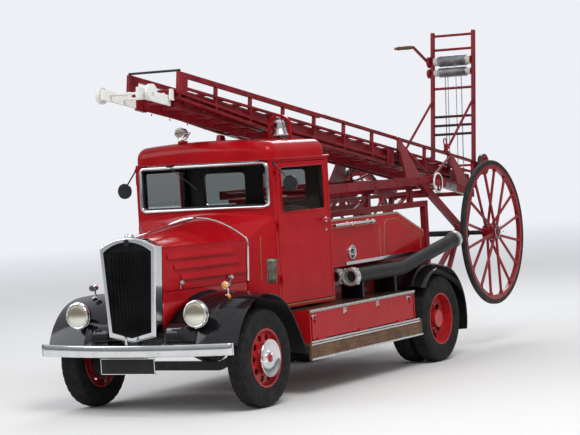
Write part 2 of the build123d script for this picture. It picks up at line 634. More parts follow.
with BuildPart() as cab_shell:
    add(scuttle_form(0, SCUTTLE_FRONT_X, SCREEN_X - SCUTTLE_LAP, SCUTTLE_FOOT_Z))
    add(scuttle_form(-SKIN, SCUTTLE_FRONT_X - SKIN, SCREEN_X - SCUTTLE_LAP - 10, SCUTTLE_FOOT_Z - 20),
        mode=Mode.SUBTRACT)
    with BuildSketch(CAB_SIDE):
        with Locations((SIDE_LENGTH / 2, (SCUTTLE_FOOT_Z + GUTTER_Z) / 2)):
            Rectangle(SIDE_LENGTH, GUTTER_Z - SCUTTLE_FOOT_Z)
        with Locations(((DOOR_START + DOOR_END) / 2, (CAB_SILL_Z + DOOR_HEAD_Z) / 2)):
            Rectangle(DOOR_END - DOOR_START + 2 * GAP, DOOR_HEAD_Z - CAB_SILL_Z + 2 * GAP, mode=Mode.SUBTRACT)
    extrude(amount=-FRAME_T)
    for hinge_z in HINGE_ZS:
        for low, high in ((hinge_z - HINGE_H / 2, hinge_z - HINGE_H / 6 - PIN_GAP),
                          (hinge_z + HINGE_H / 6 + PIN_GAP, hinge_z + HINGE_H / 2)):
            with BuildSketch(Plane.XY.offset(low)):
                with Locations((DOOR_HINGE.X, DOOR_HINGE.Y)):
                    Circle(HINGE_R)
            extrude(amount=high - low)
            with BuildSketch(CAB_SIDE.offset(-2)):
                with Locations((DOOR_START - 15, (low + high) / 2)):
                    Rectangle(22, high - low)
            extrude(amount=DOOR_HINGE_OUT)
    mirror(about=Plane.XZ)
    with BuildSketch(Plane.YZ.offset(CAB_REAR_X)):
        with Locations((0, (SCUTTLE_FOOT_Z + GUTTER_Z) / 2)):
            Rectangle(2 * (CAB_REAR_HALF - FRAME_T / 2), GUTTER_Z - SCUTTLE_FOOT_Z)
        with Locations((-REAR_WINDOW_Y, REAR_WINDOW_Z), (REAR_WINDOW_Y, REAR_WINDOW_Z)):
            RectangleRounded(REAR_WINDOW_W, REAR_WINDOW_H, 40, mode=Mode.SUBTRACT)
    extrude(amount=REAR_WALL)
    with BuildSketch(Plane.YZ.offset(SCREEN_X - FRAME_T)):
        with Locations((0, (SCREEN_FOOT_Z + GUTTER_Z) / 2 - 50)):
            Rectangle(2 * (CAB_FRONT_HALF - 25), GUTTER_Z - SCREEN_FOOT_Z + 100)
        with Locations((0, (SCREEN_FOOT_Z + GUTTER_Z) / 2)):
            RectangleRounded(2 * SCREEN_HALF - 40, GUTTER_Z - SCREEN_FOOT_Z - 50, 30, mode=Mode.SUBTRACT)
    extrude(amount=FRAME_T)
    with BuildSketch(Plane.YZ.offset(SCREEN_X - FRAME_T - DASH_T)):
        with Locations((0, (DASH_FOOT_Z + SCREEN_FOOT_Z) / 2)):
            Rectangle(2 * DASH_HALF, SCREEN_FOOT_Z - DASH_FOOT_Z)
    extrude(amount=DASH_T + 4)
keep("cab_shell", cab_shell.part)

# Cab roof: one crowned pressing with wide rounded edges, open below
ROOF_CROWN = 34.0
ROOF_CORNER_R = 120.0
ROOF_EDGE_R = 110.0
with BuildPart() as cab_roof:
    with BuildSketch(Plane.XY.offset(GUTTER_Z + SEAT_GAP)) as roof_plan:
        with BuildLine():
            Polyline((SCREEN_X + 24, -CAB_FRONT_HALF - 4), (CAB_REAR_X - 12, -CAB_REAR_HALF - 6),
                     (CAB_REAR_X - 12, CAB_REAR_HALF + 6), (SCREEN_X + 24, CAB_FRONT_HALF + 4), close=True)
        make_face()
        fillet(roof_plan.vertices(), radius=ROOF_CORNER_R)
    extrude(amount=ROOF_Z + ROOF_CROWN - GUTTER_Z)
    with BuildSketch(Plane.YZ.offset(CAB_REAR_X - 30)):
        with BuildLine():
            ThreePointArc((-CAB_REAR_HALF - 20, ROOF_Z - 12), (0, ROOF_Z + ROOF_CROWN),
                          (CAB_REAR_HALF + 20, ROOF_Z - 12))
            Polyline((CAB_REAR_HALF + 20, ROOF_Z - 12), (CAB_REAR_HALF + 20, GUTTER_Z - 10),
                     (-CAB_REAR_HALF - 20, GUTTER_Z - 10), (-CAB_REAR_HALF - 20, ROOF_Z - 12))
        make_face()
    extrude(amount=SCREEN_X - CAB_REAR_X + 90, mode=Mode.INTERSECT)
    fillet(cab_roof.faces().sort_by(Axis.Z)[-1].edges(), radius=ROOF_EDGE_R)
    roof_form = cab_roof.part
    offset(amount=-ROOF_SHEET, openings=cab_roof.faces().sort_by(Axis.Z)[0])
keep("cab_roof", cab_roof.part)

# Cab floor on its bearers, with the box that carries the seat
SEAT_BOX_FRONT_X = CAB_REAR_X + 470.0
SEAT_BOX_REAR_X = CAB_REAR_X + REAR_WALL + 60.0
SEAT_BOX_TOP_Z = 1150.0
SEAT_HALF = 640.0
FLOOR_T = CAB_FLOOR_Z - CAB_SILL_Z
with BuildPart() as cab_floor:
    with BuildSketch(Plane.XY.offset(CAB_FLOOR_Z - FLOOR_T)):
        with BuildLine():
            Polyline((SCUTTLE_FRONT_X - SKIN - 20, BONNET_REAR_HALF - 90),
                     (SCREEN_X, CAB_FRONT_HALF - FRAME_T - 20),
                     (CAB_REAR_X + REAR_WALL + SEAT_GAP, CAB_REAR_HALF - FRAME_T - 20),
                     (CAB_REAR_X + REAR_WALL + SEAT_GAP, -CAB_REAR_HALF + FRAME_T + 20),
                     (SCREEN_X, -CAB_FRONT_HALF + FRAME_T + 20),
                     (SCUTTLE_FRONT_X - SKIN - 20, -BONNET_REAR_HALF + 90), close=True)
        make_face()
    extrude(amount=FLOOR_T)
    with BuildSketch(Plane.XY.offset(CAB_FLOOR_Z)):
        with Locations(((SEAT_BOX_FRONT_X + SEAT_BOX_REAR_X) / 2, 0)):
            Rectangle(SEAT_BOX_FRONT_X - SEAT_BOX_REAR_X, 2 * SEAT_HALF)
    extrude(amount=SEAT_BOX_TOP_Z - CAB_FLOOR_Z)
    with BuildSketch(Plane.XY.offset(RAIL_TOP + SEAT_GAP)):
        with Locations((SCREEN_X - 120, 0), (CAB_REAR_X + 160, 0)):
            Rectangle(70, 2 * (RAIL_Y + RAIL_W))
    extrude(amount=CAB_FLOOR_Z - FLOOR_T - RAIL_TOP - SEAT_GAP)
keep("cab_floor", cab_floor.part)

# Seat: one cushion and one squab across the cab
CUSHION_H = 120.0
SQUAB_T = 95.0
SQUAB_H = 430.0
with BuildPart() as seat:
    with BuildSketch(Plane.XY.offset(SEAT_BOX_TOP_Z + SEAT_GAP)):
        with Locations(((SEAT_BOX_FRONT_X + SEAT_BOX_REAR_X) / 2 + 20, 0)):
            Rectangle(SEAT_BOX_FRONT_X - SEAT_BOX_REAR_X, 2 * SEAT_HALF - 20)
    extrude(amount=CUSHION_H)
    with BuildSketch(Plane.XY.offset(SEAT_BOX_TOP_Z + 40)):
        with Locations((CAB_REAR_X + REAR_WALL + SQUAB_T / 2 + 1, 0)):
            Rectangle(SQUAB_T, 2 * SEAT_HALF - 20)
    extrude(amount=CUSHION_H + SQUAB_H - 40)
keep("seat", seat.part)

# Steering column on the cab floor, with its wheel, on the vehicle's right
STEER_Y = -360.0
STEER_FOOT = (SCREEN_X + 116, STEER_Y, CAB_FLOOR_Z + 13.0)
STEER_HEAD = (SCREEN_X - 330, STEER_Y, 1555.0)
STEER_WHEEL_R = 225.0
with BuildPart() as steering_gear:
    rod(STEER_FOOT, STEER_HEAD, 22)
    rod((STEER_FOOT[0], STEER_Y, CAB_FLOOR_Z + SEAT_GAP), (STEER_FOOT[0], STEER_Y, CAB_FLOOR_Z + 26), 30)
    steer_axis = (Vector(*STEER_HEAD) - Vector(*STEER_FOOT)).normalized()
    steer_plane = Plane(origin=STEER_HEAD, x_dir=(0, 1, 0), z_dir=steer_axis)
    rim_plane = Plane(origin=STEER_HEAD, x_dir=steer_plane.x_dir, z_dir=steer_plane.y_dir)
    with BuildSketch(rim_plane) as rim_section:
        with Locations((STEER_WHEEL_R, 0)):
            Circle(13)
    revolve(rim_section.sketch, axis=Axis(STEER_HEAD, steer_axis), revolution_arc=360)
    with BuildSketch(steer_plane.offset(-8)):
        Circle(42)
        for turn in (0, 60, 120):
            with Locations(Rotation(0, 0, turn)):
                Rectangle(2 * STEER_WHEEL_R, 24)
    extrude(amount=14)
keep("steering_gear", steering_gear.part)

# Cab glass: windscreen and the two rear windows
GLASS_T = 6.0
with BuildPart() as cab_glass:
    with BuildSketch(Plane.YZ.offset(SCREEN_X - FRAME_T / 2)):
        with Locations((0, (SCREEN_FOOT_Z + GUTTER_Z) / 2)):
            RectangleRounded(2 * (SCREEN_HALF - SEAT_GAP) - 40,
                             GUTTER_Z - SCREEN_FOOT_Z - 50 - 2 * SEAT_GAP, 30)
    extrude(amount=GLASS_T)
    with BuildSketch(Plane.YZ.offset(CAB_REAR_X + REAR_WALL / 2)):
        with Locations((-REAR_WINDOW_Y, REAR_WINDOW_Z), (REAR_WINDOW_Y, REAR_WINDOW_Z)):
            RectangleRounded(REAR_WINDOW_W - 2 * SEAT_GAP, REAR_WINDOW_H - 2 * SEAT_GAP, 40)
    extrude(amount=GLASS_T)
keep("cab_glass", cab_glass.part)

# Doors: hinged at the front edge on three outside hinges, with the window opening cut
with BuildPart() as door_left:
    with BuildSketch(CAB_SIDE):
        with Locations(((DOOR_START + DOOR_END) / 2, (CAB_SILL_Z + DOOR_HEAD_Z) / 2)):
            Rectangle(DOOR_END - DOOR_START, DOOR_HEAD_Z - CAB_SILL_Z)
        with Locations(((2 * SCREEN_X - WINDOW_FRONT_X - WINDOW_REAR_X) / 2, (WAIST_Z + WINDOW_HEAD_Z) / 2)):
            RectangleRounded(WINDOW_FRONT_X - WINDOW_REAR_X, WINDOW_HEAD_Z - WAIST_Z, 24, mode=Mode.SUBTRACT)
    extrude(amount=-DOOR_T)
    for hinge_z in HINGE_ZS:
        with BuildSketch(Plane.XY.offset(hinge_z - HINGE_H / 6)):
            with Locations((DOOR_HINGE.X, DOOR_HINGE.Y)):
                Circle(HINGE_R)
        extrude(amount=HINGE_H / 3)
        with BuildSketch(CAB_SIDE.offset(-1)):
            with Locations((DOOR_START + HINGE_LEAF / 2 - 4, hinge_z)):
                Rectangle(HINGE_LEAF, HINGE_H / 3)
        extrude(amount=9)
    handle_at = CAB_SIDE.from_local_coords(Vector(DOOR_END - 50, WAIST_Z - 100, 30))
    rod(tuple(CAB_SIDE.from_local_coords(Vector(DOOR_END - 50, WAIST_Z - 100, -2))), tuple(handle_at), 11)
    rod(tuple(handle_at), tuple(CAB_SIDE.from_local_coords(Vector(DOOR_END - 170, WAIST_Z - 100, 30))), 11)
keep("door_left", door_left.part)
keep("door_right", mirrored(door_left.part))


# Rear body: an open hose bed above, a narrower closed base below that leaves room for the hoses
BASE_TOP_Z = MOULDING_Z - 24
BASE_FRONT_FOOT_Z = RAIL_TOP + SEAT_GAP
BASE_REAR_FOOT_Z = 905.0
BASE_STEP_X = REAR_AXLE_X + 480.0
BASE_REAR_X = FRONT_AXLE_X - 3800.0
TUB_WALL = 28.0
with BuildPart() as body_tub:
    plate_at(0, 2 * TUB_HALF, (TUB_FRONT_X, BASE_TOP_Z), (TUB_FRONT_X, TUB_RAIL_Z), (TUB_BREAK_X, TUB_RAIL_Z),
             (TUB_REAR_X, TUB_TAIL_Z), (TUB_REAR_X, BASE_TOP_Z))
    with BuildSketch(Plane.XY.offset(TUB_FLOOR_Z)):
        with Locations(((TUB_FRONT_X + TUB_REAR_X) / 2, 0)):
            Rectangle(TUB_FRONT_X - TUB_REAR_X - 2 * TUB_WALL, 2 * (TUB_HALF - TUB_WALL))
    extrude(amount=TUB_RAIL_Z, mode=Mode.SUBTRACT)
    plate_at(0, 2 * TUB_LOWER_HALF, (TUB_FRONT_X, BASE_TOP_Z), (TUB_FRONT_X, BASE_FRONT_FOOT_Z),
             (BASE_STEP_X, BASE_FRONT_FOOT_Z), (BASE_STEP_X, BASE_REAR_FOOT_Z),
             (BASE_REAR_X, BASE_REAR_FOOT_Z),
             (BASE_REAR_X, BASE_TOP_Z))
    with BuildSketch(SIDE.offset(TUB_LOWER_HALF - TUB_WALL)) as base_hollow:
        with BuildLine():
            Polyline((TUB_FRONT_X - TUB_WALL, BASE_TOP_Z - 2),
                     (TUB_FRONT_X - TUB_WALL, BASE_FRONT_FOOT_Z - 10),
                     (BASE_STEP_X + TUB_WALL, BASE_FRONT_FOOT_Z - 10),
                     (BASE_STEP_X + TUB_WALL, BASE_REAR_FOOT_Z + TUB_WALL),
                     (BASE_REAR_X + TUB_WALL, BASE_REAR_FOOT_Z + TUB_WALL),
                     (BASE_REAR_X + TUB_WALL, BASE_TOP_Z - 2),
                     close=True)
        make_face()
    extrude(amount=-2 * (TUB_LOWER_HALF - TUB_WALL), mode=Mode.SUBTRACT)
keep("body_tub", body_tub.part)

# Bright rails of the body: top rail down the slope, side grab rail, lower moulding and filler ring
RAIL_BAR = 26.0
TAIL_SLOPE = atan2(TUB_RAIL_Z - TUB_TAIL_Z, TUB_BREAK_X - TUB_REAR_X)
with BuildPart() as body_rails:
    for side in (1, -1):
        y = side * (TUB_HALF - RAIL_BAR / 2)
        plate_at(y, RAIL_BAR, (TUB_FRONT_X - 60, TUB_RAIL_Z + SEAT_GAP), (TUB_BREAK_X, TUB_RAIL_Z + SEAT_GAP),
                 (TUB_REAR_X, TUB_TAIL_Z + SEAT_GAP), (TUB_REAR_X, TUB_TAIL_Z + 18),
                 (TUB_BREAK_X, TUB_RAIL_Z + 18),
                 (TUB_FRONT_X - 60, TUB_RAIL_Z + 18))
        y = side * (TUB_HALF + SEAT_GAP + 8)
        with BuildSketch(SIDE.offset(-y)):
            with Locations(((TUB_FRONT_X - 330 + TUB_REAR_X) / 2, MOULDING_Z)):
                Rectangle(TUB_FRONT_X - 330 - TUB_REAR_X, 30)
            with Locations((TUB_FRONT_X - 460, MOULDING_Z + 110)):
                Ellipse(52, 38)
                Ellipse(36, 24, mode=Mode.SUBTRACT)
        extrude(amount=8, both=True)
        grab_z = TUB_RAIL_Z - 40
        out = side * (TUB_HALF + 45)
        rod((TUB_FRONT_X - 90, out, grab_z), (TUB_FRONT_X - 900, out, grab_z), 13)
        for boss_x in (TUB_FRONT_X - 110, TUB_FRONT_X - 495, TUB_FRONT_X - 880):
            rod((boss_x, side * (TUB_HALF + SEAT_GAP), grab_z), (boss_x, out, grab_z), 15)
keep("body_rails", body_rails.part)

# Side lockers: long boxes under the body with an open side closed by a flap
LOCKER_WALL = 16.0
FLAP_T = 22.0
FLAP_FRONT_X = LOCKER_FRONT_X - 40.0
FLAP_REAR_X = LOCKER_REAR_X + 40.0
FLAP_TOP_Z = LOCKER_TOP_Z - 24.0
FLAP_FOOT_Z = LOCKER_FOOT_Z + 26.0
LOCKER_BACK_Y = RAIL_Y + RAIL_W / 2 + SEAT_GAP
SADDLE_XS = (HOSE_FRONT_X - 140.0, LOCKER_REAR_X + 210.0)
FLAP_HINGE_Y = LOCKER_Y + 9.0
FLAP_HINGE_Z = FLAP_FOOT_Z - GAP / 2
FLAP_KNUCKLE_R = 7.0
FLAP_KNUCKLE_L = 70.0
FLAP_HINGE_XS = (LOCKER_FRONT_X - 260.0, (LOCKER_FRONT_X + LOCKER_REAR_X) / 2, LOCKER_REAR_X + 260.0)


def flap_hinge_parts(shift, way):
    """Knuckles of the locker hinges on one side, each with a leaf onto the flap or the locker."""
    for hinge_x in FLAP_HINGE_XS:
        begin = hinge_x + shift * FLAP_KNUCKLE_L + PIN_GAP
        end = begin + FLAP_KNUCKLE_L - 2 * PIN_GAP
        rod((begin, FLAP_HINGE_Y, FLAP_HINGE_Z), (end, FLAP_HINGE_Y, FLAP_HINGE_Z), FLAP_KNUCKLE_R)
        with BuildSketch(SIDE.offset(-FLAP_HINGE_Y + 2)) as leaf:
            with Locations(((begin + end) / 2, FLAP_HINGE_Z + way * 10)):
                Rectangle(end - begin, 20)
        extrude(leaf.sketch, amount=8)


with BuildPart() as locker_left:
    with BuildSketch(Plane.YZ.offset(LOCKER_REAR_X)):
        with Locations(((LOCKER_BACK_Y + LOCKER_Y) / 2, (LOCKER_FOOT_Z + LOCKER_TOP_Z) / 2)):
            Rectangle(LOCKER_Y - LOCKER_BACK_Y, LOCKER_TOP_Z - LOCKER_FOOT_Z)
        with Locations(((TUB_LOWER_HALF + LOCKER_BACK_Y) / 2, LOCKER_TOP_Z)):
            Rectangle(TUB_LOWER_HALF - LOCKER_BACK_Y + 4, 2 * (LOCKER_TOP_Z - RAIL_TOP + 2),
                      mode=Mode.SUBTRACT)
    extrude(amount=LOCKER_FRONT_X - LOCKER_REAR_X)
    with BuildSketch(Plane.YZ.offset(LOCKER_REAR_X + LOCKER_WALL)):
        with Locations(((LOCKER_BACK_Y + LOCKER_WALL + LOCKER_Y + 40) / 2,
                        (LOCKER_FOOT_Z + RAIL_TOP - 4) / 2)):
            Rectangle(LOCKER_Y + 40 - LOCKER_BACK_Y - LOCKER_WALL,
                      RAIL_TOP - 4 - LOCKER_FOOT_Z - 2 * LOCKER_WALL)
    extrude(amount=LOCKER_FRONT_X - LOCKER_REAR_X - 2 * LOCKER_WALL, mode=Mode.SUBTRACT)
    with BuildSketch(SIDE.offset(-LOCKER_Y)):
        with Locations(((FLAP_FRONT_X + FLAP_REAR_X) / 2, (FLAP_TOP_Z + FLAP_FOOT_Z) / 2)):
            Rectangle(FLAP_FRONT_X - FLAP_REAR_X + 2 * GAP, FLAP_TOP_Z - FLAP_FOOT_Z + 2 * GAP)
    extrude(amount=FLAP_T + GAP, mode=Mode.SUBTRACT)
    for saddle_x in SADDLE_XS:
        with BuildSketch(Plane.YZ.offset(saddle_x - 20)):
            with Locations(((HOSE_Y + HOSE_INNER_Y) / 2, (LOCKER_TOP_Z + HOSE_Z) / 2 - 1)):
                Rectangle(HOSE_Y - HOSE_INNER_Y + 60, HOSE_Z - LOCKER_TOP_Z)
            with Locations((HOSE_Y, HOSE_Z), (HOSE_INNER_Y, HOSE_Z)):
                Circle(HOSE_R + SEAT_GAP, mode=Mode.SUBTRACT)
        extrude(amount=40)
    flap_hinge_parts(0, -1)
with BuildPart() as lockers:
    add(locker_left.part)
    mirror(locker_left.part, about=Plane.XZ)
keep("lockers", lockers.part)

# Locker flaps: panels hinged along their foot, with two square and two tee latches
LATCH_XS = (LOCKER_FRONT_X - 690, LOCKER_REAR_X + 785)
TEE_XS = (FLAP_FRONT_X - 60, FLAP_REAR_X + 60)
with BuildPart() as flap_left:
    with BuildSketch(SIDE.offset(-LOCKER_Y)):
        with Locations(((FLAP_FRONT_X + FLAP_REAR_X) / 2, (FLAP_TOP_Z + FLAP_FOOT_Z) / 2)):
            Rectangle(FLAP_FRONT_X - FLAP_REAR_X, FLAP_TOP_Z - FLAP_FOOT_Z)
    extrude(amount=FLAP_T)
    with BuildSketch(SIDE.offset(-LOCKER_Y)):
        with Locations(*[(x, FLAP_TOP_Z - 50) for x in LATCH_XS]):
            Rectangle(60, 50)
        with Locations(*[(x, FLAP_TOP_Z - 60) for x in TEE_XS]):
            Rectangle(22, 80)
            Rectangle(54, 18)
    extrude(amount=-9)
    flap_hinge_parts(1, 1)
keep("locker_flap_left", flap_left.part)
keep("locker_flap_right", mirrored(flap_left.part))

# Steps below the lockers: a tread board on a deep edge board, hung from the lockers
STEP_T = 30.0
STEP_TREAD_Z = LOCKER_FOOT_Z - STEP_T - SEAT_GAP
with BuildPart() as step_left:
    with BuildSketch(Plane.YZ.offset(STEP_REAR_X)):
        with Locations(((LOCKER_BACK_Y + LOCKER_Y) / 2 + 80, STEP_TREAD_Z + STEP_T / 2)):
            Rectangle(LOCKER_Y - LOCKER_BACK_Y - 160, STEP_T)
        with Locations((LOCKER_Y - 12, (STEP_FOOT_Z + STEP_TREAD_Z + STEP_T) / 2)):
            Rectangle(24, STEP_TREAD_Z + STEP_T - STEP_FOOT_Z)
    extrude(amount=LOCKER_FRONT_X - STEP_REAR_X)
with BuildPart() as steps:
    add(step_left.part)
    mirror(step_left.part, about=Plane.XZ)
keep("steps", steps.part)

# Headlamps and wing lamps on their stems
WING_MID_Y = (WING_INNER_Y + WING_OUTER_Y) / 2


def on_wing(radius, angle, y):
    """A point at a radius and an angle about the front axle."""
    return (FRONT_AXLE_X + radius * cos(radians(angle)), y, AXLE_Z + radius * sin(radians(angle)))


with BuildPart() as lamps_left:
    lamp_axis = Axis((HEADLAMP_X, HEADLAMP_Y, HEADLAMP_Z), (1, 0, 0))
    with BuildSketch(Plane.XY.offset(HEADLAMP_Z)) as lamp_profile:
        with BuildLine():
            Polyline((HEADLAMP_X - 150, HEADLAMP_Y), (HEADLAMP_X - 150, HEADLAMP_Y + 26),
                     (HEADLAMP_X - 118, HEADLAMP_Y + 78), (HEADLAMP_X - 62, HEADLAMP_Y + 106),
                     (HEADLAMP_X - 26, HEADLAMP_Y + 111), (HEADLAMP_X - 24, HEADLAMP_Y + HEADLAMP_R),
                     (HEADLAMP_X - 4, HEADLAMP_Y + HEADLAMP_R), (HEADLAMP_X, HEADLAMP_Y + HEADLAMP_R - 8),
                     (HEADLAMP_X, HEADLAMP_Y + 100), (HEADLAMP_X + 12, HEADLAMP_Y + 60),
                     (HEADLAMP_X + 16, HEADLAMP_Y),
                     close=True)
        make_face()
    revolve(lamp_profile.sketch, axis=lamp_axis)
    rod(on_wing(WING_R + 1.0, 36, HEADLAMP_Y), on_wing(WING_R + 56, 36, HEADLAMP_Y), 17)
    side_y = SIDELAMP_Y - 40
    rod(on_wing(WING_R, 74, side_y), on_wing(WING_R + 66, 74, side_y), 10)
    side_lamp = on_wing(WING_R + 90, 74, side_y)
    with BuildSketch(Plane.XY.offset(side_lamp[2])) as side_profile:
        with BuildLine():
            Polyline((side_lamp[0] - 62, side_y), (side_lamp[0] - 40, side_y + 22),
                     (side_lamp[0], side_y + SIDELAMP_R - 2),
                     (side_lamp[0] + 26, side_y + SIDELAMP_R), (side_lamp[0] + 34, side_y + SIDELAMP_R - 6),
                     (side_lamp[0] + 40, side_y), close=True)
        make_face()
    revolve(side_profile.sketch, axis=Axis(side_lamp, (1, 0, 0)))
with BuildPart() as lamps:
    add(lamps_left.part)
    mirror(lamps_left.part, about=Plane.XZ)
keep("lamps", lamps.part)

# Suction hoses along each side, with round couplings, on saddles over the lockers
HOSE_BEND = 700.0
with BuildPart() as hose_left:
    with BuildLine() as hose_path:
        FilletPolyline((HOSE_FRONT_X, HOSE_Y, HOSE_Z), (HOSE_RISE_X, HOSE_Y, HOSE_Z),
                       (HOSE_TAIL_X, HOSE_Y, HOSE_TAIL_Z), radius=HOSE_BEND)
    with BuildSketch(Plane(origin=(HOSE_FRONT_X, HOSE_Y, HOSE_Z), z_dir=(-1, 0, 0))) as hose_section:
        Circle(HOSE_R)
    sweep(hose_section.sketch, path=hose_path.wires()[0])
    rod((HOSE_FRONT_X, HOSE_INNER_Y, HOSE_Z), (HOSE_FRONT_X - 1100, HOSE_INNER_Y, HOSE_Z), HOSE_R)
with BuildPart() as suction_hoses:
    add(hose_left.part)
    mirror(hose_left.part, about=Plane.XZ)
keep("suction_hoses", suction_hoses.part)

with BuildPart() as coupling_left:
    tail_dir = (Vector(HOSE_TAIL_X, HOSE_Y, HOSE_TAIL_Z) - Vector(HOSE_RISE_X, HOSE_Y, HOSE_Z)).normalized()
    tail = Vector(HOSE_TAIL_X, HOSE_Y, HOSE_TAIL_Z)
    for y in (HOSE_Y, HOSE_INNER_Y):
        radius = COUPLING_R if y == HOSE_Y else COUPLING_R - 6
        with BuildSketch(Plane.YZ.offset(HOSE_FRONT_X)):
            with Locations((y, HOSE_Z)):
                Circle(radius)
                Circle(radius - 28, mode=Mode.SUBTRACT)
        extrude(amount=COUPLING_L)
    rod(tuple(tail), tuple(tail + tail_dir * COUPLING_L), COUPLING_R)
with BuildPart() as hose_couplings:
    add(coupling_left.part)
    mirror(coupling_left.part, about=Plane.XZ)
keep("hose_couplings", hose_couplings.part)


# Pump behind the base of the body, on the frame, with a suction inlet and two deliveries
PUMP_X = BASE_REAR_X - 190.0
PUMP_Z = 940.0
INLET_R = 50.0
with BuildPart() as pump:
    rod((PUMP_X + 120, 0, PUMP_Z), (PUMP_X - 120, 0, PUMP_Z), 190)
    rod((BASE_REAR_X - SEAT_GAP, 0, PUMP_Z), (PUMP_X, 0, PUMP_Z), 110)
    rod((PUMP_X, 0, PUMP_Z), (PUMP_X - 210, 0, PUMP_Z), 74)
    rod((PUMP_X - 210, 0, PUMP_Z), (PUMP_X - 100, 0, PUMP_Z), 84)
    for side in (1, -1):
        rod((PUMP_X, side * 120, PUMP_Z + 60), (PUMP_X, side * 300, PUMP_Z + 60), 44)
        rod((PUMP_X, side * 290, PUMP_Z + 60), (PUMP_X - 170, side * 290, PUMP_Z + 20), 40)
        with BuildSketch(Plane.XY.offset(RAIL_TOP + SEAT_GAP)):
            with Locations((PUMP_X, side * RAIL_Y * 0.62)):
                Rectangle(150, RAIL_Y * 0.76 + 60)
        extrude(amount=40)
    with BuildSketch(Plane.YZ.offset(PUMP_X - 211)):
        with Locations((0, PUMP_Z)):
            Circle(INLET_R)
    extrude(amount=120, mode=Mode.SUBTRACT)
keep("pump", pump.part)

# Roof gear: searchlight pedestal, ladder rest and bell bracket
REST_X = FRONT_AXLE_X - 1440.0


def escape_point(s, n):
    """X and Z of a point of the ladder set, from its distance along and square to the strings."""
    return (HEEL_X + s * cos(INCLINE) - n * sin(INCLINE), HEEL_Z + s * sin(INCLINE) + n * cos(INCLINE))


def ladder_foot_z(x):
    """Height of the underside of the ladder set above a place on the vehicle."""
    return HEEL_Z + (x - HEEL_X) * LADDER_SLOPE


ROOF_TOP_Z = ROOF_Z + ROOF_CROWN
LIGHT_X = FRONT_AXLE_X - 740.0
LIGHT_Y = -250.0
LIGHT_R = 54.0
LIGHT_BASE_H = 16.0
BELL_X = FRONT_AXLE_X - 1330.0
BELL_Y = 450.0
BELL_R = 90.0
BELL_H = 150.0
BELL_MOUTH_Z = 2366.0
ARCH_HALF = 120.0
ARCH_W = 18.0
ARCH_TOP_Z = BELL_MOUTH_Z + BELL_H + 46
with BuildPart() as roof_gear:
    rod((LIGHT_X, LIGHT_Y, ROOF_TOP_Z - 6), (LIGHT_X, LIGHT_Y, ROOF_TOP_Z + LIGHT_BASE_H), 46)
    for side in (1, -1):
        rest_y = side * MAIN_Y
        top_z = ladder_foot_z(REST_X) - 8
        plate_at(rest_y, 46, (REST_X - 60, ROOF_TOP_Z - 20), (REST_X + 60, ROOF_TOP_Z - 20),
                 (REST_X + 34, top_z),
                 (REST_X - 34, top_z - 11))
    with BuildSketch(Plane.YZ.offset(BELL_X - 13)):
        with BuildLine():
            Line((BELL_Y - ARCH_HALF, ROOF_Z - 30), (BELL_Y - ARCH_HALF, ARCH_TOP_Z - 70))
            ThreePointArc((BELL_Y - ARCH_HALF, ARCH_TOP_Z - 70), (BELL_Y, ARCH_TOP_Z),
                          (BELL_Y + ARCH_HALF, ARCH_TOP_Z - 70))
            Polyline((BELL_Y + ARCH_HALF, ARCH_TOP_Z - 70), (BELL_Y + ARCH_HALF, ROOF_Z - 30),
                     (BELL_Y + ARCH_HALF - ARCH_W, ROOF_Z - 30),
                     (BELL_Y + ARCH_HALF - ARCH_W, ARCH_TOP_Z - 76))
            ThreePointArc((BELL_Y + ARCH_HALF - ARCH_W, ARCH_TOP_Z - 76), (BELL_Y, ARCH_TOP_Z - ARCH_W),
                          (BELL_Y - ARCH_HALF + ARCH_W, ARCH_TOP_Z - 76))
            Polyline((BELL_Y - ARCH_HALF + ARCH_W, ARCH_TOP_Z - 76),
                     (BELL_Y - ARCH_HALF + ARCH_W, ROOF_Z - 30),
                     (BELL_Y - ARCH_HALF, ROOF_Z - 30))
        make_face()
    extrude(amount=26)
    add(roof_form, mode=Mode.SUBTRACT)
keep("roof_gear", roof_gear.part)

# Searchlight in its fork on the pedestal
LIGHT_Z = ROOF_TOP_Z + LIGHT_BASE_H + SEAT_GAP + LIGHT_R + 18
with BuildPart() as searchlight:
    rod((LIGHT_X, LIGHT_Y, ROOF_TOP_Z + LIGHT_BASE_H + SEAT_GAP), (LIGHT_X, LIGHT_Y, LIGHT_Z - LIGHT_R - 8),
        14)
    with BuildSketch(Plane.YZ.offset(LIGHT_X - 9)):
        with Locations((LIGHT_Y, LIGHT_Z)):
            Circle(LIGHT_R + 16)
            Circle(LIGHT_R + 8, mode=Mode.SUBTRACT)
        with Locations((LIGHT_Y, LIGHT_Z + LIGHT_R + 4)):
            Rectangle(3 * LIGHT_R, 2 * LIGHT_R, mode=Mode.SUBTRACT)
    extrude(amount=18)
    rod((LIGHT_X, LIGHT_Y - LIGHT_R - 12, LIGHT_Z - 6), (LIGHT_X, LIGHT_Y + LIGHT_R + 12, LIGHT_Z - 6), 6)
    with BuildSketch(Plane.XY.offset(LIGHT_Z)) as light_profile:
        with BuildLine():
            Polyline((LIGHT_X - 60, LIGHT_Y), (LIGHT_X - 54, LIGHT_Y + 24),
                     (LIGHT_X - 28, LIGHT_Y + LIGHT_R - 10),
                     (LIGHT_X + 30, LIGHT_Y + LIGHT_R - 4), (LIGHT_X + 32, LIGHT_Y + LIGHT_R),
                     (LIGHT_X + 44, LIGHT_Y + LIGHT_R), (LIGHT_X + 44, LIGHT_Y + LIGHT_R - 10),
                     (LIGHT_X + 50, LIGHT_Y),
                     close=True)
        make_face()
    revolve(light_profile.sketch, axis=Axis((LIGHT_X, LIGHT_Y, LIGHT_Z), (1, 0, 0)))
keep("searchlight", searchlight.part)

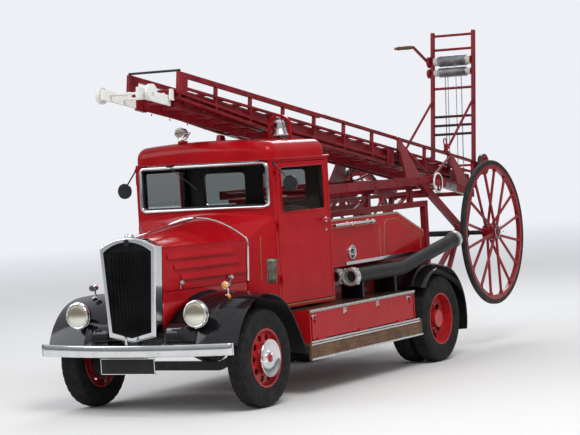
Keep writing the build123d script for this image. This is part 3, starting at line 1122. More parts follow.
# Bell hanging in its arched bracket
with BuildPart() as bell:
    with BuildSketch(SIDE.offset(-BELL_Y)) as bell_profile:
        with BuildLine():
            Polyline((BELL_X, BELL_MOUTH_Z + BELL_H), (BELL_X + 36, BELL_MOUTH_Z + BELL_H - 4),
                     (BELL_X + 52, BELL_MOUTH_Z + BELL_H - 30), (BELL_X + 60, BELL_MOUTH_Z + 60),
                     (BELL_X + 76, BELL_MOUTH_Z + 18), (BELL_X + BELL_R, BELL_MOUTH_Z),
                     (BELL_X + BELL_R - 12, BELL_MOUTH_Z), (BELL_X + 50, BELL_MOUTH_Z + 56),
                     (BELL_X + 40, BELL_MOUTH_Z + BELL_H - 38), (BELL_X, BELL_MOUTH_Z + BELL_H - 16),
                     close=True)
        make_face()
    revolve(bell_profile.sketch, axis=Axis((BELL_X, BELL_Y, 0), (0, 0, 1)))
    rod((BELL_X, BELL_Y, BELL_MOUTH_Z + BELL_H - 6), (BELL_X, BELL_Y, ARCH_TOP_Z - ARCH_W - 0.5), 10)
keep("bell", bell.part)


# Mirrors on arms from the windscreen pillars
MIRROR_R = 72.0
with BuildPart() as mirror_left:
    arm_foot = CAB_SIDE.from_local_coords(Vector(18, 2120, 7))
    arm_end = Vector(SCREEN_X - 40, CAB_FRONT_HALF + 150, 1960)
    rod(tuple(arm_foot), tuple(arm_end), 7)
    rod(tuple(CAB_SIDE.from_local_coords(Vector(18, 2120, SEAT_GAP))),
        tuple(CAB_SIDE.from_local_coords(Vector(18, 2120, 14))), 14)
    with BuildSketch(Plane.YZ.offset(arm_end.X - 8)):
        with Locations((arm_end.Y + 10, arm_end.Z - 30)):
            Circle(MIRROR_R)
    extrude(amount=20)
with BuildPart() as mirrors:
    add(mirror_left.part)
    mirror(mirror_left.part, about=Plane.XZ)
keep("mirrors", mirrors.part)

# Road wheels


def tyre(centre_x, centre_y):
    """One road tyre, with straight flanks and a slightly crowned tread."""
    half = TYRE_W / 2
    with BuildPart() as ring:
        with BuildSketch(Plane.XY.offset(AXLE_Z)) as section:
            with BuildLine():
                Polyline((centre_x + RIM_R, centre_y - half + 24),
                         (centre_x + RIM_R + 60, centre_y - half + 3),
                         (centre_x + RIM_R + 96, centre_y - half),
                         (centre_x + TYRE_R - 34, centre_y - half + 9),
                         (centre_x + TYRE_R - 8, centre_y - half + 28), (centre_x + TYRE_R, centre_y - 20),
                         (centre_x + TYRE_R, centre_y + 20), (centre_x + TYRE_R - 8, centre_y + half - 28),
                         (centre_x + TYRE_R - 34, centre_y + half - 9),
                         (centre_x + RIM_R + 96, centre_y + half),
                         (centre_x + RIM_R + 60, centre_y + half - 3),
                         (centre_x + RIM_R, centre_y + half - 24),
                         close=True)
            make_face()
        revolve(section.sketch, axis=Axis((centre_x, 0, AXLE_Z), (0, 1, 0)))
    return ring.part


def rim(centre_x, centre_y, disc_y, dish):
    """Rim with a pierced disc; the disc meets the hub at disc_y, offset from its rim seat by the dish."""
    with BuildPart() as wheel:
        with BuildSketch(Plane.XY.offset(AXLE_Z)) as section:
            with BuildLine():
                Polyline((centre_x + RIM_R - SEAT_GAP, centre_y - RIM_W / 2),
                         (centre_x + RIM_R - SEAT_GAP, centre_y + RIM_W / 2),
                         (centre_x + RIM_R - 12, centre_y + RIM_W / 2),
                         (centre_x + RIM_R - 18, disc_y + 14 - dish),
                         (centre_x + 150, disc_y + 12), (centre_x + HUB_R, disc_y + 12),
                         (centre_x + HUB_R, disc_y), (centre_x + 150, disc_y),
                         (centre_x + RIM_R - 18, disc_y - dish),
                         (centre_x + RIM_R - 12, centre_y - RIM_W / 2),
                         close=True)
            make_face()
        revolve(section.sketch, axis=Axis((centre_x, 0, AXLE_Z), (0, 1, 0)))
        with BuildSketch(Plane(origin=(centre_x, 0, AXLE_Z), x_dir=(1, 0, 0), z_dir=(0, 1, 0))) as holes:
            with PolarLocations(182, WHEEL_HOLES):
                Circle(WHEEL_HOLE_R)
        extrude(holes.sketch, amount=2 * FRONT_TYRE_Y, mode=Mode.SUBTRACT)
    return wheel.part


FRONT_HUB_INNER_Y = FRONT_TYRE_Y - 72.0
FRONT_DISC_Y = FRONT_TYRE_Y + 44.0
NAVE_OUT = 52.0
NAVE_FACE_Y = FRONT_DISC_Y + 11
NAVE_EDGE = (FRONT_AXLE_X + NAVE_R, NAVE_FACE_Y)
NAVE_MIDDLE = (FRONT_AXLE_X + NAVE_R * 0.72, NAVE_FACE_Y + NAVE_OUT * 0.55)
NAVE_BOSS = (FRONT_AXLE_X + 30, NAVE_FACE_Y + NAVE_OUT * 0.8)
with BuildPart() as front_wheel:
    add(rim(FRONT_AXLE_X, FRONT_TYRE_Y, FRONT_DISC_Y, 20))
    rod((FRONT_AXLE_X, FRONT_HUB_INNER_Y, AXLE_Z), (FRONT_AXLE_X, FRONT_DISC_Y + 12, AXLE_Z), HUB_R)
    rod((FRONT_AXLE_X, FRONT_HUB_INNER_Y, AXLE_Z), (FRONT_AXLE_X, FRONT_TYRE_Y - 6, AXLE_Z), DRUM_R)
    with BuildSketch(Plane(origin=(FRONT_AXLE_X, FRONT_HUB_INNER_Y, AXLE_Z), z_dir=(0, 1, 0))):
        Circle(SPINDLE_R + PIN_GAP)
    extrude(amount=FRONT_DISC_Y - FRONT_HUB_INNER_Y - 20, mode=Mode.SUBTRACT)
    with BuildSketch(Plane.XY.offset(AXLE_Z)) as nave_profile:
        with BuildLine():
            Line((FRONT_AXLE_X, NAVE_FACE_Y), NAVE_EDGE)
            ThreePointArc(NAVE_EDGE, NAVE_MIDDLE, NAVE_BOSS)
            Polyline(NAVE_BOSS, (FRONT_AXLE_X + 22, NAVE_FACE_Y + NAVE_OUT),
                     (FRONT_AXLE_X, NAVE_FACE_Y + NAVE_OUT),
                     (FRONT_AXLE_X, NAVE_FACE_Y))
        make_face()
    revolve(nave_profile.sketch, axis=Axis((FRONT_AXLE_X, 0, AXLE_Z), (0, 1, 0)))
keep("front_wheel_left", front_wheel.part)
keep("front_wheel_right", mirrored(front_wheel.part))
keep("front_tyre_left", tyre(FRONT_AXLE_X, FRONT_TYRE_Y))
keep("front_tyre_right", mirrored(tyre(FRONT_AXLE_X, FRONT_TYRE_Y)))

REAR_HUB_INNER_Y = TWIN_INNER_Y - 60.0
REAR_DISC_Y = TWIN_OUTER_Y - 62.0
with BuildPart() as rear_wheels:
    add(rim(REAR_AXLE_X, TWIN_OUTER_Y, REAR_DISC_Y, -30))
    add(rim(REAR_AXLE_X, TWIN_INNER_Y, REAR_DISC_Y - 30, 60))
    rod((REAR_AXLE_X, REAR_HUB_INNER_Y, AXLE_Z), (REAR_AXLE_X, TWIN_OUTER_Y + 46, AXLE_Z), HUB_R)
    rod((REAR_AXLE_X, REAR_HUB_INNER_Y, AXLE_Z), (REAR_AXLE_X, TWIN_INNER_Y + 30, AXLE_Z), DRUM_R + 12)
    with BuildSketch(Plane(origin=(REAR_AXLE_X, REAR_HUB_INNER_Y, AXLE_Z), z_dir=(0, 1, 0))):
        Circle(SPINDLE_R + PIN_GAP)
    extrude(amount=TWIN_OUTER_Y + 1 - REAR_HUB_INNER_Y, mode=Mode.SUBTRACT)
keep("rear_wheels_left", rear_wheels.part)
keep("rear_wheels_right", mirrored(rear_wheels.part))
with BuildPart() as rear_tyres:
    add(tyre(REAR_AXLE_X, TWIN_OUTER_Y))
    add(tyre(REAR_AXLE_X, TWIN_INNER_Y))
keep("rear_tyres_left", rear_tyres.part)
keep("rear_tyres_right", mirrored(rear_tyres.part))

# Steering knuckles: two lugs and a kingpin round the axle's eye, a back plate and the spindle
LUG_T = 30.0
LUG_Z = AXLE_Z + EYE_H / 2 + PIN_GAP
KNUCKLE_FACE_Y = FRONT_HUB_INNER_Y - PIN_GAP
with BuildPart() as knuckle_left:
    for low in (LUG_Z, 2 * AXLE_Z - LUG_Z - LUG_T):
        with BuildSketch(Plane.XY.offset(low)):
            with Locations((FRONT_AXLE_X, (KINGPIN_Y + KNUCKLE_FACE_Y) / 2)):
                Rectangle(2 * EYE_R, KNUCKLE_FACE_Y - KINGPIN_Y)
            with Locations((FRONT_AXLE_X, KINGPIN_Y)):
                Circle(EYE_R)
        extrude(amount=LUG_T)
    rod((FRONT_AXLE_X, KINGPIN_Y, AXLE_Z - EYE_H / 2 - LUG_T),
        (FRONT_AXLE_X, KINGPIN_Y, AXLE_Z + EYE_H / 2 + LUG_T),
        KINGPIN_R)
    with BuildSketch(Plane(origin=(FRONT_AXLE_X, KNUCKLE_FACE_Y, AXLE_Z), z_dir=(0, -1, 0))):
        Circle(DRUM_R - 8)
    extrude(amount=22)
    rod((FRONT_AXLE_X, KNUCKLE_FACE_Y - 4, AXLE_Z), (FRONT_AXLE_X, FRONT_DISC_Y - 24, AXLE_Z), SPINDLE_R)
keep("knuckle_left", knuckle_left.part)
keep("knuckle_right", mirrored(knuckle_left.part))

# Gantry: posts, long rails and cross bearers under the escape's carriage, and the two arms
# from the frame's rear end up to a bearing on the escape's axle
GANTRY_Y = 400.0
GANTRY_LOW_Z = 1575.0
GANTRY_FRONT_X = FRONT_AXLE_X - 1700.0
GANTRY_REAR_X = FRONT_AXLE_X - 4420.0
GANTRY_BAR = 60.0
BEARER_GAP = 5.0
BEARER_TOP_Z = BEAM_Z - BEAM_H / 2 - BEARER_GAP
BEARER_XS = (FRONT_AXLE_X - 1950.0, FRONT_AXLE_X - 3100.0, FRONT_AXLE_X - 4060.0)
POST_XS = (FRONT_AXLE_X - 1800.0, FRONT_AXLE_X - 3000.0)
GANTRY_HIGH_Z = 1700.0
RAIL_END = 330.0
BRACE_RUN = 320.0
ARM_Y = RAIL_Y
ARM_T = 40.0
ARM_W = 46.0
ARM_FOOT_H = 24.0
ARM_REAR_X = FRAME_REAR_X + 20
ARM_FRONT_X = FRAME_REAR_X + 420
EYE_OUT_R = 64.0
with BuildPart() as escape_gantry:
    for side in (1, -1):
        y = side * GANTRY_Y
        bar((GANTRY_REAR_X, y, GANTRY_LOW_Z), (GANTRY_FRONT_X, y, GANTRY_LOW_Z), GANTRY_BAR, GANTRY_BAR)
        for post_x in POST_XS:
            bar((post_x, y, TUB_FLOOR_Z + SEAT_GAP), (post_x, y, GANTRY_LOW_Z), GANTRY_BAR - 10,
                GANTRY_BAR - 10)
        bar((GANTRY_REAR_X + 40, y, RAIL_TOP + SEAT_GAP), (GANTRY_REAR_X + 40, y, GANTRY_LOW_Z), GANTRY_BAR,
            70)
        for bearer_x in BEARER_XS:
            bar((bearer_x, y, GANTRY_LOW_Z), (bearer_x, y, BEARER_TOP_Z - 20), GANTRY_BAR - 10, 60)
        bar((BEARER_XS[-1] - RAIL_END, y, GANTRY_HIGH_Z), (BEARER_XS[0] + 35, y, GANTRY_HIGH_Z), 36, 36)
        for rear_x in BEARER_XS[1:]:
            bar((rear_x, y, GANTRY_HIGH_Z), (rear_x + BRACE_RUN, y, GANTRY_LOW_Z), 30, 30)
    for bearer_x in BEARER_XS:
        with BuildSketch(Plane.XY.offset(BEARER_TOP_Z - 40)):
            with Locations((bearer_x, 0)):
                Rectangle(70, 2 * (BEAM_Y + BEAM_W / 2))
        extrude(amount=40)
    for side in (1, -1):
        y = side * ARM_Y
        plate_at(y, ARM_T, (ARM_REAR_X, RAIL_TOP + SEAT_GAP), (ARM_FRONT_X, RAIL_TOP + SEAT_GAP),
                 (ARM_FRONT_X, RAIL_TOP + ARM_FOOT_H), (ARM_REAR_X, RAIL_TOP + ARM_FOOT_H))
        for foot_x in (ARM_REAR_X + 30, ARM_FRONT_X - 30):
            bar((foot_x, y, RAIL_TOP + ARM_FOOT_H - 4), (ESCAPE_AXLE_X, y, ESCAPE_AXLE_Z), ARM_T, ARM_W)
        rod((ESCAPE_AXLE_X, y - ARM_T / 2, ESCAPE_AXLE_Z), (ESCAPE_AXLE_X, y + ARM_T / 2, ESCAPE_AXLE_Z),
            EYE_OUT_R)
    with BuildSketch(SIDE.offset(-2 * ARM_Y)):
        with Locations((ESCAPE_AXLE_X, ESCAPE_AXLE_Z)):
            Circle(ESCAPE_AXLE_R + PIN_GAP)
    extrude(amount=4 * ARM_Y, mode=Mode.SUBTRACT)
keep("escape_gantry", escape_gantry.part)

# Escape wheels: sixteen spokes staggered between two hub flanges, felloe and solid tyre


def escape_wheel():
    """Left escape wheel with its hub, spokes and felloe."""
    felloe_r = ESCAPE_WHEEL_R - ESCAPE_TYRE_H
    with BuildPart() as wheel:
        with BuildSketch(Plane.XY.offset(ESCAPE_AXLE_Z)) as section:
            with Locations((ESCAPE_AXLE_X + felloe_r - SEAT_GAP - FELLOE_H / 2, ESCAPE_WHEEL_Y)):
                Rectangle(FELLOE_H, ESCAPE_TYRE_W - 6)
        revolve(section.sketch, axis=Axis((ESCAPE_AXLE_X, 0, ESCAPE_AXLE_Z), (0, 1, 0)))
        rod((ESCAPE_AXLE_X, ESCAPE_WHEEL_Y - ESCAPE_HUB_L / 2, ESCAPE_AXLE_Z),
            (ESCAPE_AXLE_X, ESCAPE_WHEEL_Y + ESCAPE_HUB_L / 2 - 40, ESCAPE_AXLE_Z), ESCAPE_HUB_R)
        for index in range(SPOKES):
            angle = radians(360 / SPOKES * (index + 0.5))
            flange = ESCAPE_WHEEL_Y + (34 if index % 2 else -60)
            rod((ESCAPE_AXLE_X + (ESCAPE_HUB_R - 14) * cos(angle), flange,
                 ESCAPE_AXLE_Z + (ESCAPE_HUB_R - 14) * sin(angle)),
                (ESCAPE_AXLE_X + (felloe_r - FELLOE_H + 8) * cos(angle), ESCAPE_WHEEL_Y,
                 ESCAPE_AXLE_Z + (felloe_r - FELLOE_H + 8) * sin(angle)), SPOKE_R)
        with BuildSketch(SIDE.offset(-ESCAPE_WHEEL_Y)) as bore:
            with Locations((ESCAPE_AXLE_X, ESCAPE_AXLE_Z)):
                Circle(ESCAPE_AXLE_R - AXLE_STEP + PIN_GAP)
        extrude(bore.sketch, amount=ESCAPE_HUB_L, both=True, mode=Mode.SUBTRACT)
    return wheel.part


with BuildPart() as escape_tyre:
    with BuildSketch(Plane.XY.offset(ESCAPE_AXLE_Z)) as escape_section:
        with Locations((ESCAPE_AXLE_X + ESCAPE_WHEEL_R - ESCAPE_TYRE_H / 2, ESCAPE_WHEEL_Y)):
            Rectangle(ESCAPE_TYRE_H, ESCAPE_TYRE_W)
        chamfer(escape_section.vertices().group_by(Axis.X)[-1], length=12)
    revolve(escape_section.sketch, axis=Axis((ESCAPE_AXLE_X, 0, ESCAPE_AXLE_Z), (0, 1, 0)))
spoked = escape_wheel()
keep("escape_wheel_left", spoked)
keep("escape_wheel_right", mirrored(spoked))
keep("escape_tyre_left", escape_tyre.part)
keep("escape_tyre_right", mirrored(escape_tyre.part))

# Ladder set: three nested sections in one plane


def ladder_block(start, end, low, high, inner_y, outer_y):
    """A block on each side of the ladder, between two stations, two heights and two widths."""
    for near, far in ((inner_y, outer_y), (-outer_y, -inner_y)):
        with BuildSketch(ESCAPE_SIDE.offset(-far)) as face:
            with Locations(((start + end) / 2, (low + high) / 2)):
                Rectangle(end - start, high - low)
        extrude(face.sketch, amount=far - near)


def rungs(half, start, end, n, radius):
    """Round rungs at the standard pitch between two strings."""
    with BuildSketch(ESCAPE_SIDE) as ends:
        station = start
        while station < end:
            with Locations((station, n)):
                Circle(radius)
            station += RUNG_PITCH
    extrude(ends.sketch, amount=half, both=True)


def guides(stations, slider_face, string_face, low, high):
    """Angle pieces inside a pair of strings; the next section slides in them with its outer faces."""
    for station in stations:
        start = station - GUIDE_L / 2
        end = station + GUIDE_L / 2
        ladder_block(start, end, low - GUIDE_LEDGE, high, slider_face + GUIDE_GAP, string_face + 4)
        ladder_block(start, end, low - GUIDE_LEDGE, low - GUIDE_GAP, slider_face - 24, string_face + 4)


GUIDE_L = 140.0
GUIDE_LEDGE = 12.0
GUIDE_GAP = 0.4
MAIN_GUIDES = (700.0, 2400.0, 4500.0, MAIN_LENGTH - 210.0)
MIDDLE_GUIDES = (700.0, 2400.0, 4500.0, MAIN_LENGTH - 110.0)
MIDDLE_LOW_N = 48.0
MIDDLE_HIGH_N = 146.0
TOP_LOW_N = 4.0
TOP_HIGH_N = 92.0
MAIN_START = 75.0
MAIN_POST_W = 22.0
MAIN_RAIL_H = 24.0
MAIN_LINE_H = 26.0
MAIN_BOARD_H = 44.0
MAIN_BOARD_S = 3650.0
MAIN_RUNG_N = 176.0
MAIN_RUNG_H = 20.0
with BuildPart() as ladder_main:
    for side in (1, -1):
        with BuildSketch(ESCAPE_SIDE.offset(-side * MAIN_Y)):
            for rail_n in (0, MAIN_STRING_H - MAIN_RAIL_H):
                with BuildLine():
                    Polyline((MAIN_START, rail_n), (MAIN_BEND_S, rail_n),
                             (MAIN_LENGTH, rail_n + MAIN_HEAD_RISE),
                             (MAIN_LENGTH, rail_n + MAIN_HEAD_RISE + MAIN_RAIL_H),
                             (MAIN_BEND_S, rail_n + MAIN_RAIL_H), (MAIN_START, rail_n + MAIN_RAIL_H),
                             close=True)
                make_face()
            top_n = MAIN_TOP_N + MAIN_TOP_H / 2
            with Locations(((MAIN_START + MAIN_LENGTH) / 2, top_n - MAIN_LINE_H / 2)):
                Rectangle(MAIN_LENGTH - MAIN_START, MAIN_LINE_H)
            with Locations(((MAIN_BOARD_S + MAIN_LENGTH) / 2, top_n - MAIN_BOARD_H / 2)):
                Rectangle(MAIN_LENGTH - MAIN_BOARD_S, MAIN_BOARD_H)
            with Locations(((MAIN_START + MAIN_LENGTH) / 2, MAIN_RUNG_N)):
                Rectangle(MAIN_LENGTH - MAIN_START, MAIN_RUNG_H)
            station = MAIN_START + MAIN_POST_W / 2
            while station < MAIN_LENGTH:
                share = max(0, (station - MAIN_BEND_S) / (MAIN_LENGTH - MAIN_BEND_S))
                foot_n = MAIN_RAIL_H / 2 + share * MAIN_HEAD_RISE
                with Locations((station, (MAIN_TOP_N + foot_n) / 2)):
                    Rectangle(MAIN_POST_W, MAIN_TOP_N - foot_n)
                station += 2 * RUNG_PITCH
            with Locations((MAIN_LENGTH - 70, MAIN_TOP_N / 2 + 60)):
                Rectangle(140, MAIN_TOP_N - 130)
        extrude(amount=MAIN_STRING_W / 2, both=True)
    rungs(MAIN_Y, MAIN_START + 150, MAIN_LENGTH - 60, MAIN_RUNG_N, 14)
    guides(MAIN_GUIDES, MIDDLE_Y + MIDDLE_STRING_W / 2, MAIN_Y - MAIN_STRING_W / 2, MIDDLE_LOW_N,
           MIDDLE_HIGH_N)
keep("ladder_main", ladder_main.part)

with BuildPart() as ladder_middle:
    ladder_block(MIDDLE_START, MIDDLE_END, MIDDLE_LOW_N, MIDDLE_HIGH_N, MIDDLE_Y - MIDDLE_STRING_W / 2,
                 MIDDLE_Y + MIDDLE_STRING_W / 2)
    rungs(MIDDLE_Y, MIDDLE_START + 130, MIDDLE_END - 40, 118, 13)
    guides(MIDDLE_GUIDES, TOP_Y + TOP_STRING_W / 2, MIDDLE_Y - MIDDLE_STRING_W / 2, TOP_LOW_N, TOP_HIGH_N)
keep("ladder_middle", ladder_middle.part)

# Top section, with the bearings of the head wheels in its head
HEAD_AXLE_S = TOP_END - 103.0
HEAD_AXLE_N = 56.0
HEAD_AXLE_R = 12.0
HEAD_WHEEL_R = 74.0
HEAD_WHEEL_Y = 257.0
with BuildPart() as ladder_top:
    ladder_block(TOP_START, TOP_END, TOP_LOW_N, TOP_HIGH_N, TOP_Y - TOP_STRING_W / 2,
                 TOP_Y + TOP_STRING_W / 2)
    rungs(TOP_Y, TOP_START + 120, TOP_END - 200, 50, 12)
    with BuildSketch(ESCAPE_SIDE):
        with Locations((HEAD_AXLE_S, HEAD_AXLE_N)):
            Circle(HEAD_AXLE_R + PIN_GAP)
    extrude(amount=2 * TOP_Y, both=True, mode=Mode.SUBTRACT)
keep("ladder_top", ladder_top.part)

with BuildPart() as head_wheels:
    with BuildSketch(ESCAPE_SIDE):
        with Locations((HEAD_AXLE_S, HEAD_AXLE_N)):
            Circle(HEAD_AXLE_R)
    extrude(amount=HEAD_WHEEL_Y + 34, both=True)
    for side in (1, -1):
        with BuildSketch(ESCAPE_SIDE.offset(-side * HEAD_WHEEL_Y)):
            with Locations((HEAD_AXLE_S, HEAD_AXLE_N)):
                Circle(HEAD_WHEEL_R)
        extrude(amount=17, both=True)
keep("head_wheels", head_wheels.part)



def lever_x(z):
    """X of the middle of a lever at a height."""
    return LEVER_FOOT_X + (LEVER_HEAD_X - LEVER_FOOT_X) * (z - LEVER_FOOT_Z) / (LEVER_HEAD_Z - LEVER_FOOT_Z)


# Levers: the tall frame at the heel, with its rungs, its stays and the lugs of the heel wheels
LEVER_RUNG_ZS = (3410.0, 3250.0, 2810.0, 2490.0, 2390.0, 2290.0)
LEVER_BOTTOM_Z = 1672.0
STAY_TOP_Z = 2680.0
STAY_FOOT_S = 760.0
STAY_PAD_N = MAIN_TOP_N + MAIN_TOP_H / 2 + SEAT_GAP
HEEL_WHEEL_X = LEVER_FOOT_X - 92.0
HEEL_WHEEL_Z = 1930.0
HEEL_WHEEL_R = 118.0
HEEL_WHEEL_Y = 330.0
HEEL_AXLE_R = 14.0
HEEL_HOLES = 6
HEEL_HOLE_R = 24.0
HEEL_HOLE_AT = 66.0
STILE_W = 36.0
WINCH_Z = 3120.0
ROPE_DRUM_Z = 2990.0
WINCH_SHAFT_R = 16.0
with BuildPart() as lever_frame:
    for side in (1, -1):
        y = side * LEVER_Y
        bar((lever_x(LEVER_BOTTOM_Z), y, LEVER_BOTTOM_Z), (LEVER_HEAD_X, y, LEVER_HEAD_Z), STILE_W, LEVER_W)
        with BuildSketch(ESCAPE_SIDE.offset(-side * MAIN_Y)):
            with Locations(((MAIN_START - SEAT_GAP) / 2, (MAIN_TOP_N + MAIN_TOP_H) / 2)):
                Rectangle(MAIN_START - SEAT_GAP, MAIN_TOP_N + MAIN_TOP_H - 40)
            with Locations((STAY_FOOT_S, STAY_PAD_N + 9)):
                Rectangle(110, 18)
        extrude(amount=MAIN_STRING_W / 2, both=True)
        stay_x, stay_z = escape_point(STAY_FOOT_S, STAY_PAD_N + 17)
        rod((lever_x(STAY_TOP_Z), y, STAY_TOP_Z), (stay_x, side * MAIN_Y, stay_z), TUBE_R)
        with BuildSketch(SIDE.offset(-y)):
            with Locations((HEEL_WHEEL_X + 30, HEEL_WHEEL_Z)):
                Rectangle(124, 64)
            with Locations((HEEL_WHEEL_X, HEEL_WHEEL_Z)):
                Circle(HEEL_AXLE_R + PIN_GAP, mode=Mode.SUBTRACT)
        extrude(amount=STILE_W / 2, both=True)
    for rung_z in LEVER_RUNG_ZS:
        rod((lever_x(rung_z), -LEVER_Y, rung_z), (lever_x(rung_z), LEVER_Y, rung_z), 15)
    with BuildSketch(SIDE.offset(LEVER_Y - STILE_W)) as shaft_holes:
        for shaft_z in (WINCH_Z, ROPE_DRUM_Z):
            with Locations((lever_x(shaft_z), shaft_z)):
                Circle(WINCH_SHAFT_R + SEAT_GAP)
    extrude(shaft_holes.sketch, amount=2 * STILE_W, mode=Mode.SUBTRACT)
keep("lever_frame", lever_frame.part)

# Heel wheels: two small wheels on one axle through the lugs of the levers
with BuildPart() as heel_wheels:
    for half, radius in ((HEEL_WHEEL_Y + 30, HEEL_AXLE_R), (HEEL_WHEEL_Y + 20, HEEL_WHEEL_R)):
        rod((HEEL_WHEEL_X, -half, HEEL_WHEEL_Z), (HEEL_WHEEL_X, half, HEEL_WHEEL_Z), radius)
    with BuildSketch(SIDE.offset(HEEL_WHEEL_Y - 20)) as heel_gap:
        with Locations((HEEL_WHEEL_X, HEEL_WHEEL_Z)):
            Circle(HEEL_WHEEL_R + 10)
            Circle(HEEL_AXLE_R, mode=Mode.SUBTRACT)
    extrude(amount=-2 * (HEEL_WHEEL_Y - 20), mode=Mode.SUBTRACT)
    with BuildSketch(SIDE.offset(-HEEL_WHEEL_Y - 40)) as heel_holes:
        with Locations((HEEL_WHEEL_X, HEEL_WHEEL_Z)):
            with PolarLocations(HEEL_HOLE_AT, HEEL_HOLES):
                Circle(HEEL_HOLE_R)
    extrude(heel_holes.sketch, amount=2 * HEEL_WHEEL_Y + 80, mode=Mode.SUBTRACT)
keep("heel_wheels", heel_wheels.part)

# Winch and elevating gear: two drums between the levers, a crank, and a handwheel on the carriage
DRUM_HALF = LEVER_Y - STILE_W / 2 - SEAT_GAP
CRANK_Y = -LEVER_Y - STILE_W / 2 - SEAT_GAP
CRANK_END_X = FRONT_AXLE_X - 5800.0
CRANK_END_Z = 3290.0
CRANK_GRIP = 235.0
HANDWHEEL_X = FRONT_AXLE_X - 4460.0
HANDWHEEL_Z = 1786.0
HANDWHEEL_R = 104.0
with BuildPart() as winch:
    for drum_z, drum_r in ((WINCH_Z, 50.0), (ROPE_DRUM_Z, 38.0)):
        rod((lever_x(drum_z), -DRUM_HALF, drum_z), (lever_x(drum_z), DRUM_HALF, drum_z), drum_r)
        rod((lever_x(drum_z), -LEVER_Y + STILE_W, drum_z), (lever_x(drum_z), CRANK_Y - 20, drum_z),
            WINCH_SHAFT_R)
        rod((lever_x(drum_z), CRANK_Y, drum_z), (lever_x(drum_z), CRANK_Y - 34, drum_z), drum_r + 16)
    bar((lever_x(WINCH_Z), CRANK_Y - 42, WINCH_Z), (CRANK_END_X, CRANK_Y - 42, CRANK_END_Z), 18, 30)
    rod((CRANK_END_X, CRANK_Y - 36, CRANK_END_Z), (CRANK_END_X, CRANK_Y - 40 - CRANK_GRIP, CRANK_END_Z), 15)
    wheel_y = BEAM_Y + BEAM_W / 2 + SEAT_GAP
    rod((HANDWHEEL_X, wheel_y, HANDWHEEL_Z), (HANDWHEEL_X, wheel_y + 40, HANDWHEEL_Z), 22)
    with BuildSketch(SIDE.offset(-wheel_y - 30)) as handwheel_face:
        with Locations((HANDWHEEL_X, HANDWHEEL_Z)):
            Circle(HANDWHEEL_R)
            Circle(HANDWHEEL_R - 20, mode=Mode.SUBTRACT)
            Rectangle(2 * HANDWHEEL_R - 20, 18)
            Rectangle(18, 2 * HANDWHEEL_R - 20)
    extrude(amount=-16)
keep("winch", winch.part)

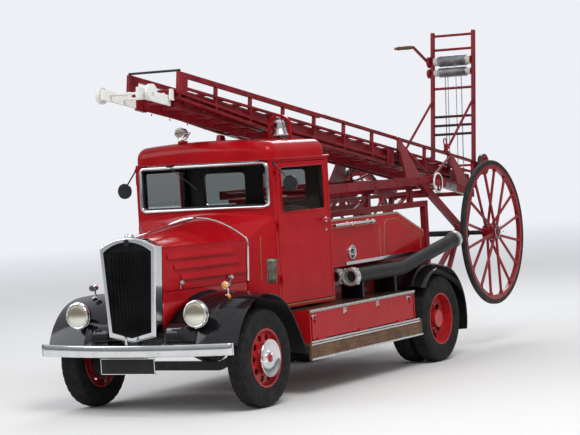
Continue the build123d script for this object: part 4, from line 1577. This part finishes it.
# Carriage of the escape: two long beams, tapered posts leaning in to the ladder, struts down to the axle
STRUT_TOP_X = FRONT_AXLE_X - 4180.0
POST_BASE = 350.0
POST_TOP = 56.0
POST_T = 22.0
POST_PIN_Y = MAIN_Y + MAIN_STRING_W / 2 + SEAT_GAP
COLLAR_R = 60.0
CROSSBAR_R = 24.0
AXLE_END_Y = ESCAPE_WHEEL_Y + ESCAPE_HUB_L / 2 - 44
posts = [
    # x of the foot, height of the foot
    (POST_FRONT_X, BEAM_Z),
    (POST_REAR_X, BEAM_REAR_Z + 50),
]
crossbars = [
    # x, height
    (BEAM_FRONT_X - 40, BEAM_Z),
    (BEAM_BEND_X + 20, BEAM_Z),
    (BEAM_REAR_X + 40, BEAM_REAR_Z),
]
with BuildPart() as escape_carriage:
    for side in (1, -1):
        y = side * BEAM_Y
        plate_at(y, BEAM_W, (BEAM_FRONT_X, BEAM_Z - BEAM_H / 2), (BEAM_BEND_X, BEAM_Z - BEAM_H / 2),
                 (BEAM_REAR_X, BEAM_REAR_Z - BEAM_H / 2), (BEAM_REAR_X, BEAM_REAR_Z + BEAM_H / 2),
                 (BEAM_BEND_X, BEAM_Z + BEAM_H / 2), (BEAM_FRONT_X, BEAM_Z + BEAM_H / 2))
        bar((STRUT_TOP_X, y, BEAM_Z - 20), (ESCAPE_AXLE_X + 10, y, ESCAPE_AXLE_Z + 6), BEAM_W - 10, 80)
        bar((BEAM_REAR_X + 60, y, BEAM_REAR_Z), (ESCAPE_AXLE_X, y, ESCAPE_AXLE_Z), BEAM_W - 14, 56)
        rod((ESCAPE_AXLE_X, y - BEAM_W / 2 - 4, ESCAPE_AXLE_Z),
            (ESCAPE_AXLE_X, y + BEAM_W / 2 + 4, ESCAPE_AXLE_Z), COLLAR_R)
        for post_x, foot_z in posts:
            top_z = HEEL_Z + (post_x - HEEL_X) * LADDER_SLOPE + MAIN_TOP_N / cos(INCLINE)
            foot = Vector(post_x, side * (BEAM_Y - 8), foot_z)
            head = Vector(post_x, side * (POST_PIN_Y + 24), top_z)
            rise = head - foot
            with BuildSketch(Plane(origin=foot, x_dir=(1, 0, 0), z_dir=(0, -rise.Z, rise.Y))) as post_face:
                with BuildLine():
                    Polyline((-POST_BASE / 2, 0), (POST_BASE / 2, 0), (POST_TOP / 2, rise.length),
                             (-POST_TOP / 2, rise.length), close=True)
                make_face()
            extrude(post_face.sketch, amount=POST_T / 2, both=True)
            rod((post_x, side * POST_PIN_Y, top_z - 6), (post_x, side * (POST_PIN_Y + 40), top_z - 6), 16)
            rod((post_x, side * (POST_PIN_Y + 25), top_z - 24), (BEAM_BEND_X, y, BEAM_Z + 10), TUBE_R)
    with BuildSketch(SIDE.offset(-BEAM_Y - BEAM_W)) as collar_bore:
        with Locations((ESCAPE_AXLE_X, ESCAPE_AXLE_Z)):
            Circle(ESCAPE_AXLE_R + SEAT_GAP)
    extrude(collar_bore.sketch, amount=2 * (BEAM_Y + BEAM_W), mode=Mode.SUBTRACT)
    for cross_x, cross_z in crossbars:
        cross_half = BEAM_Y - BEAM_W / 2 - SEAT_GAP
        rod((cross_x, -cross_half, cross_z), (cross_x, cross_half, cross_z), CROSSBAR_R)
keep("escape_carriage", escape_carriage.part)

# Axle of the escape through the collars of the carriage, stepped down for the wheels
AXLE_STEP_Y = BEAM_Y + BEAM_W / 2 + 20
with BuildPart() as escape_axle:
    rod((ESCAPE_AXLE_X, -AXLE_STEP_Y, ESCAPE_AXLE_Z), (ESCAPE_AXLE_X, AXLE_STEP_Y, ESCAPE_AXLE_Z),
        ESCAPE_AXLE_R)
    rod((ESCAPE_AXLE_X, -AXLE_END_Y, ESCAPE_AXLE_Z), (ESCAPE_AXLE_X, AXLE_END_Y, ESCAPE_AXLE_Z),
        ESCAPE_AXLE_R - AXLE_STEP)
keep("escape_axle", escape_axle.part)

os.makedirs("parts", exist_ok=True)
for name, piece in PIECES.items():
    export_step(piece, f"parts/{name}.step")
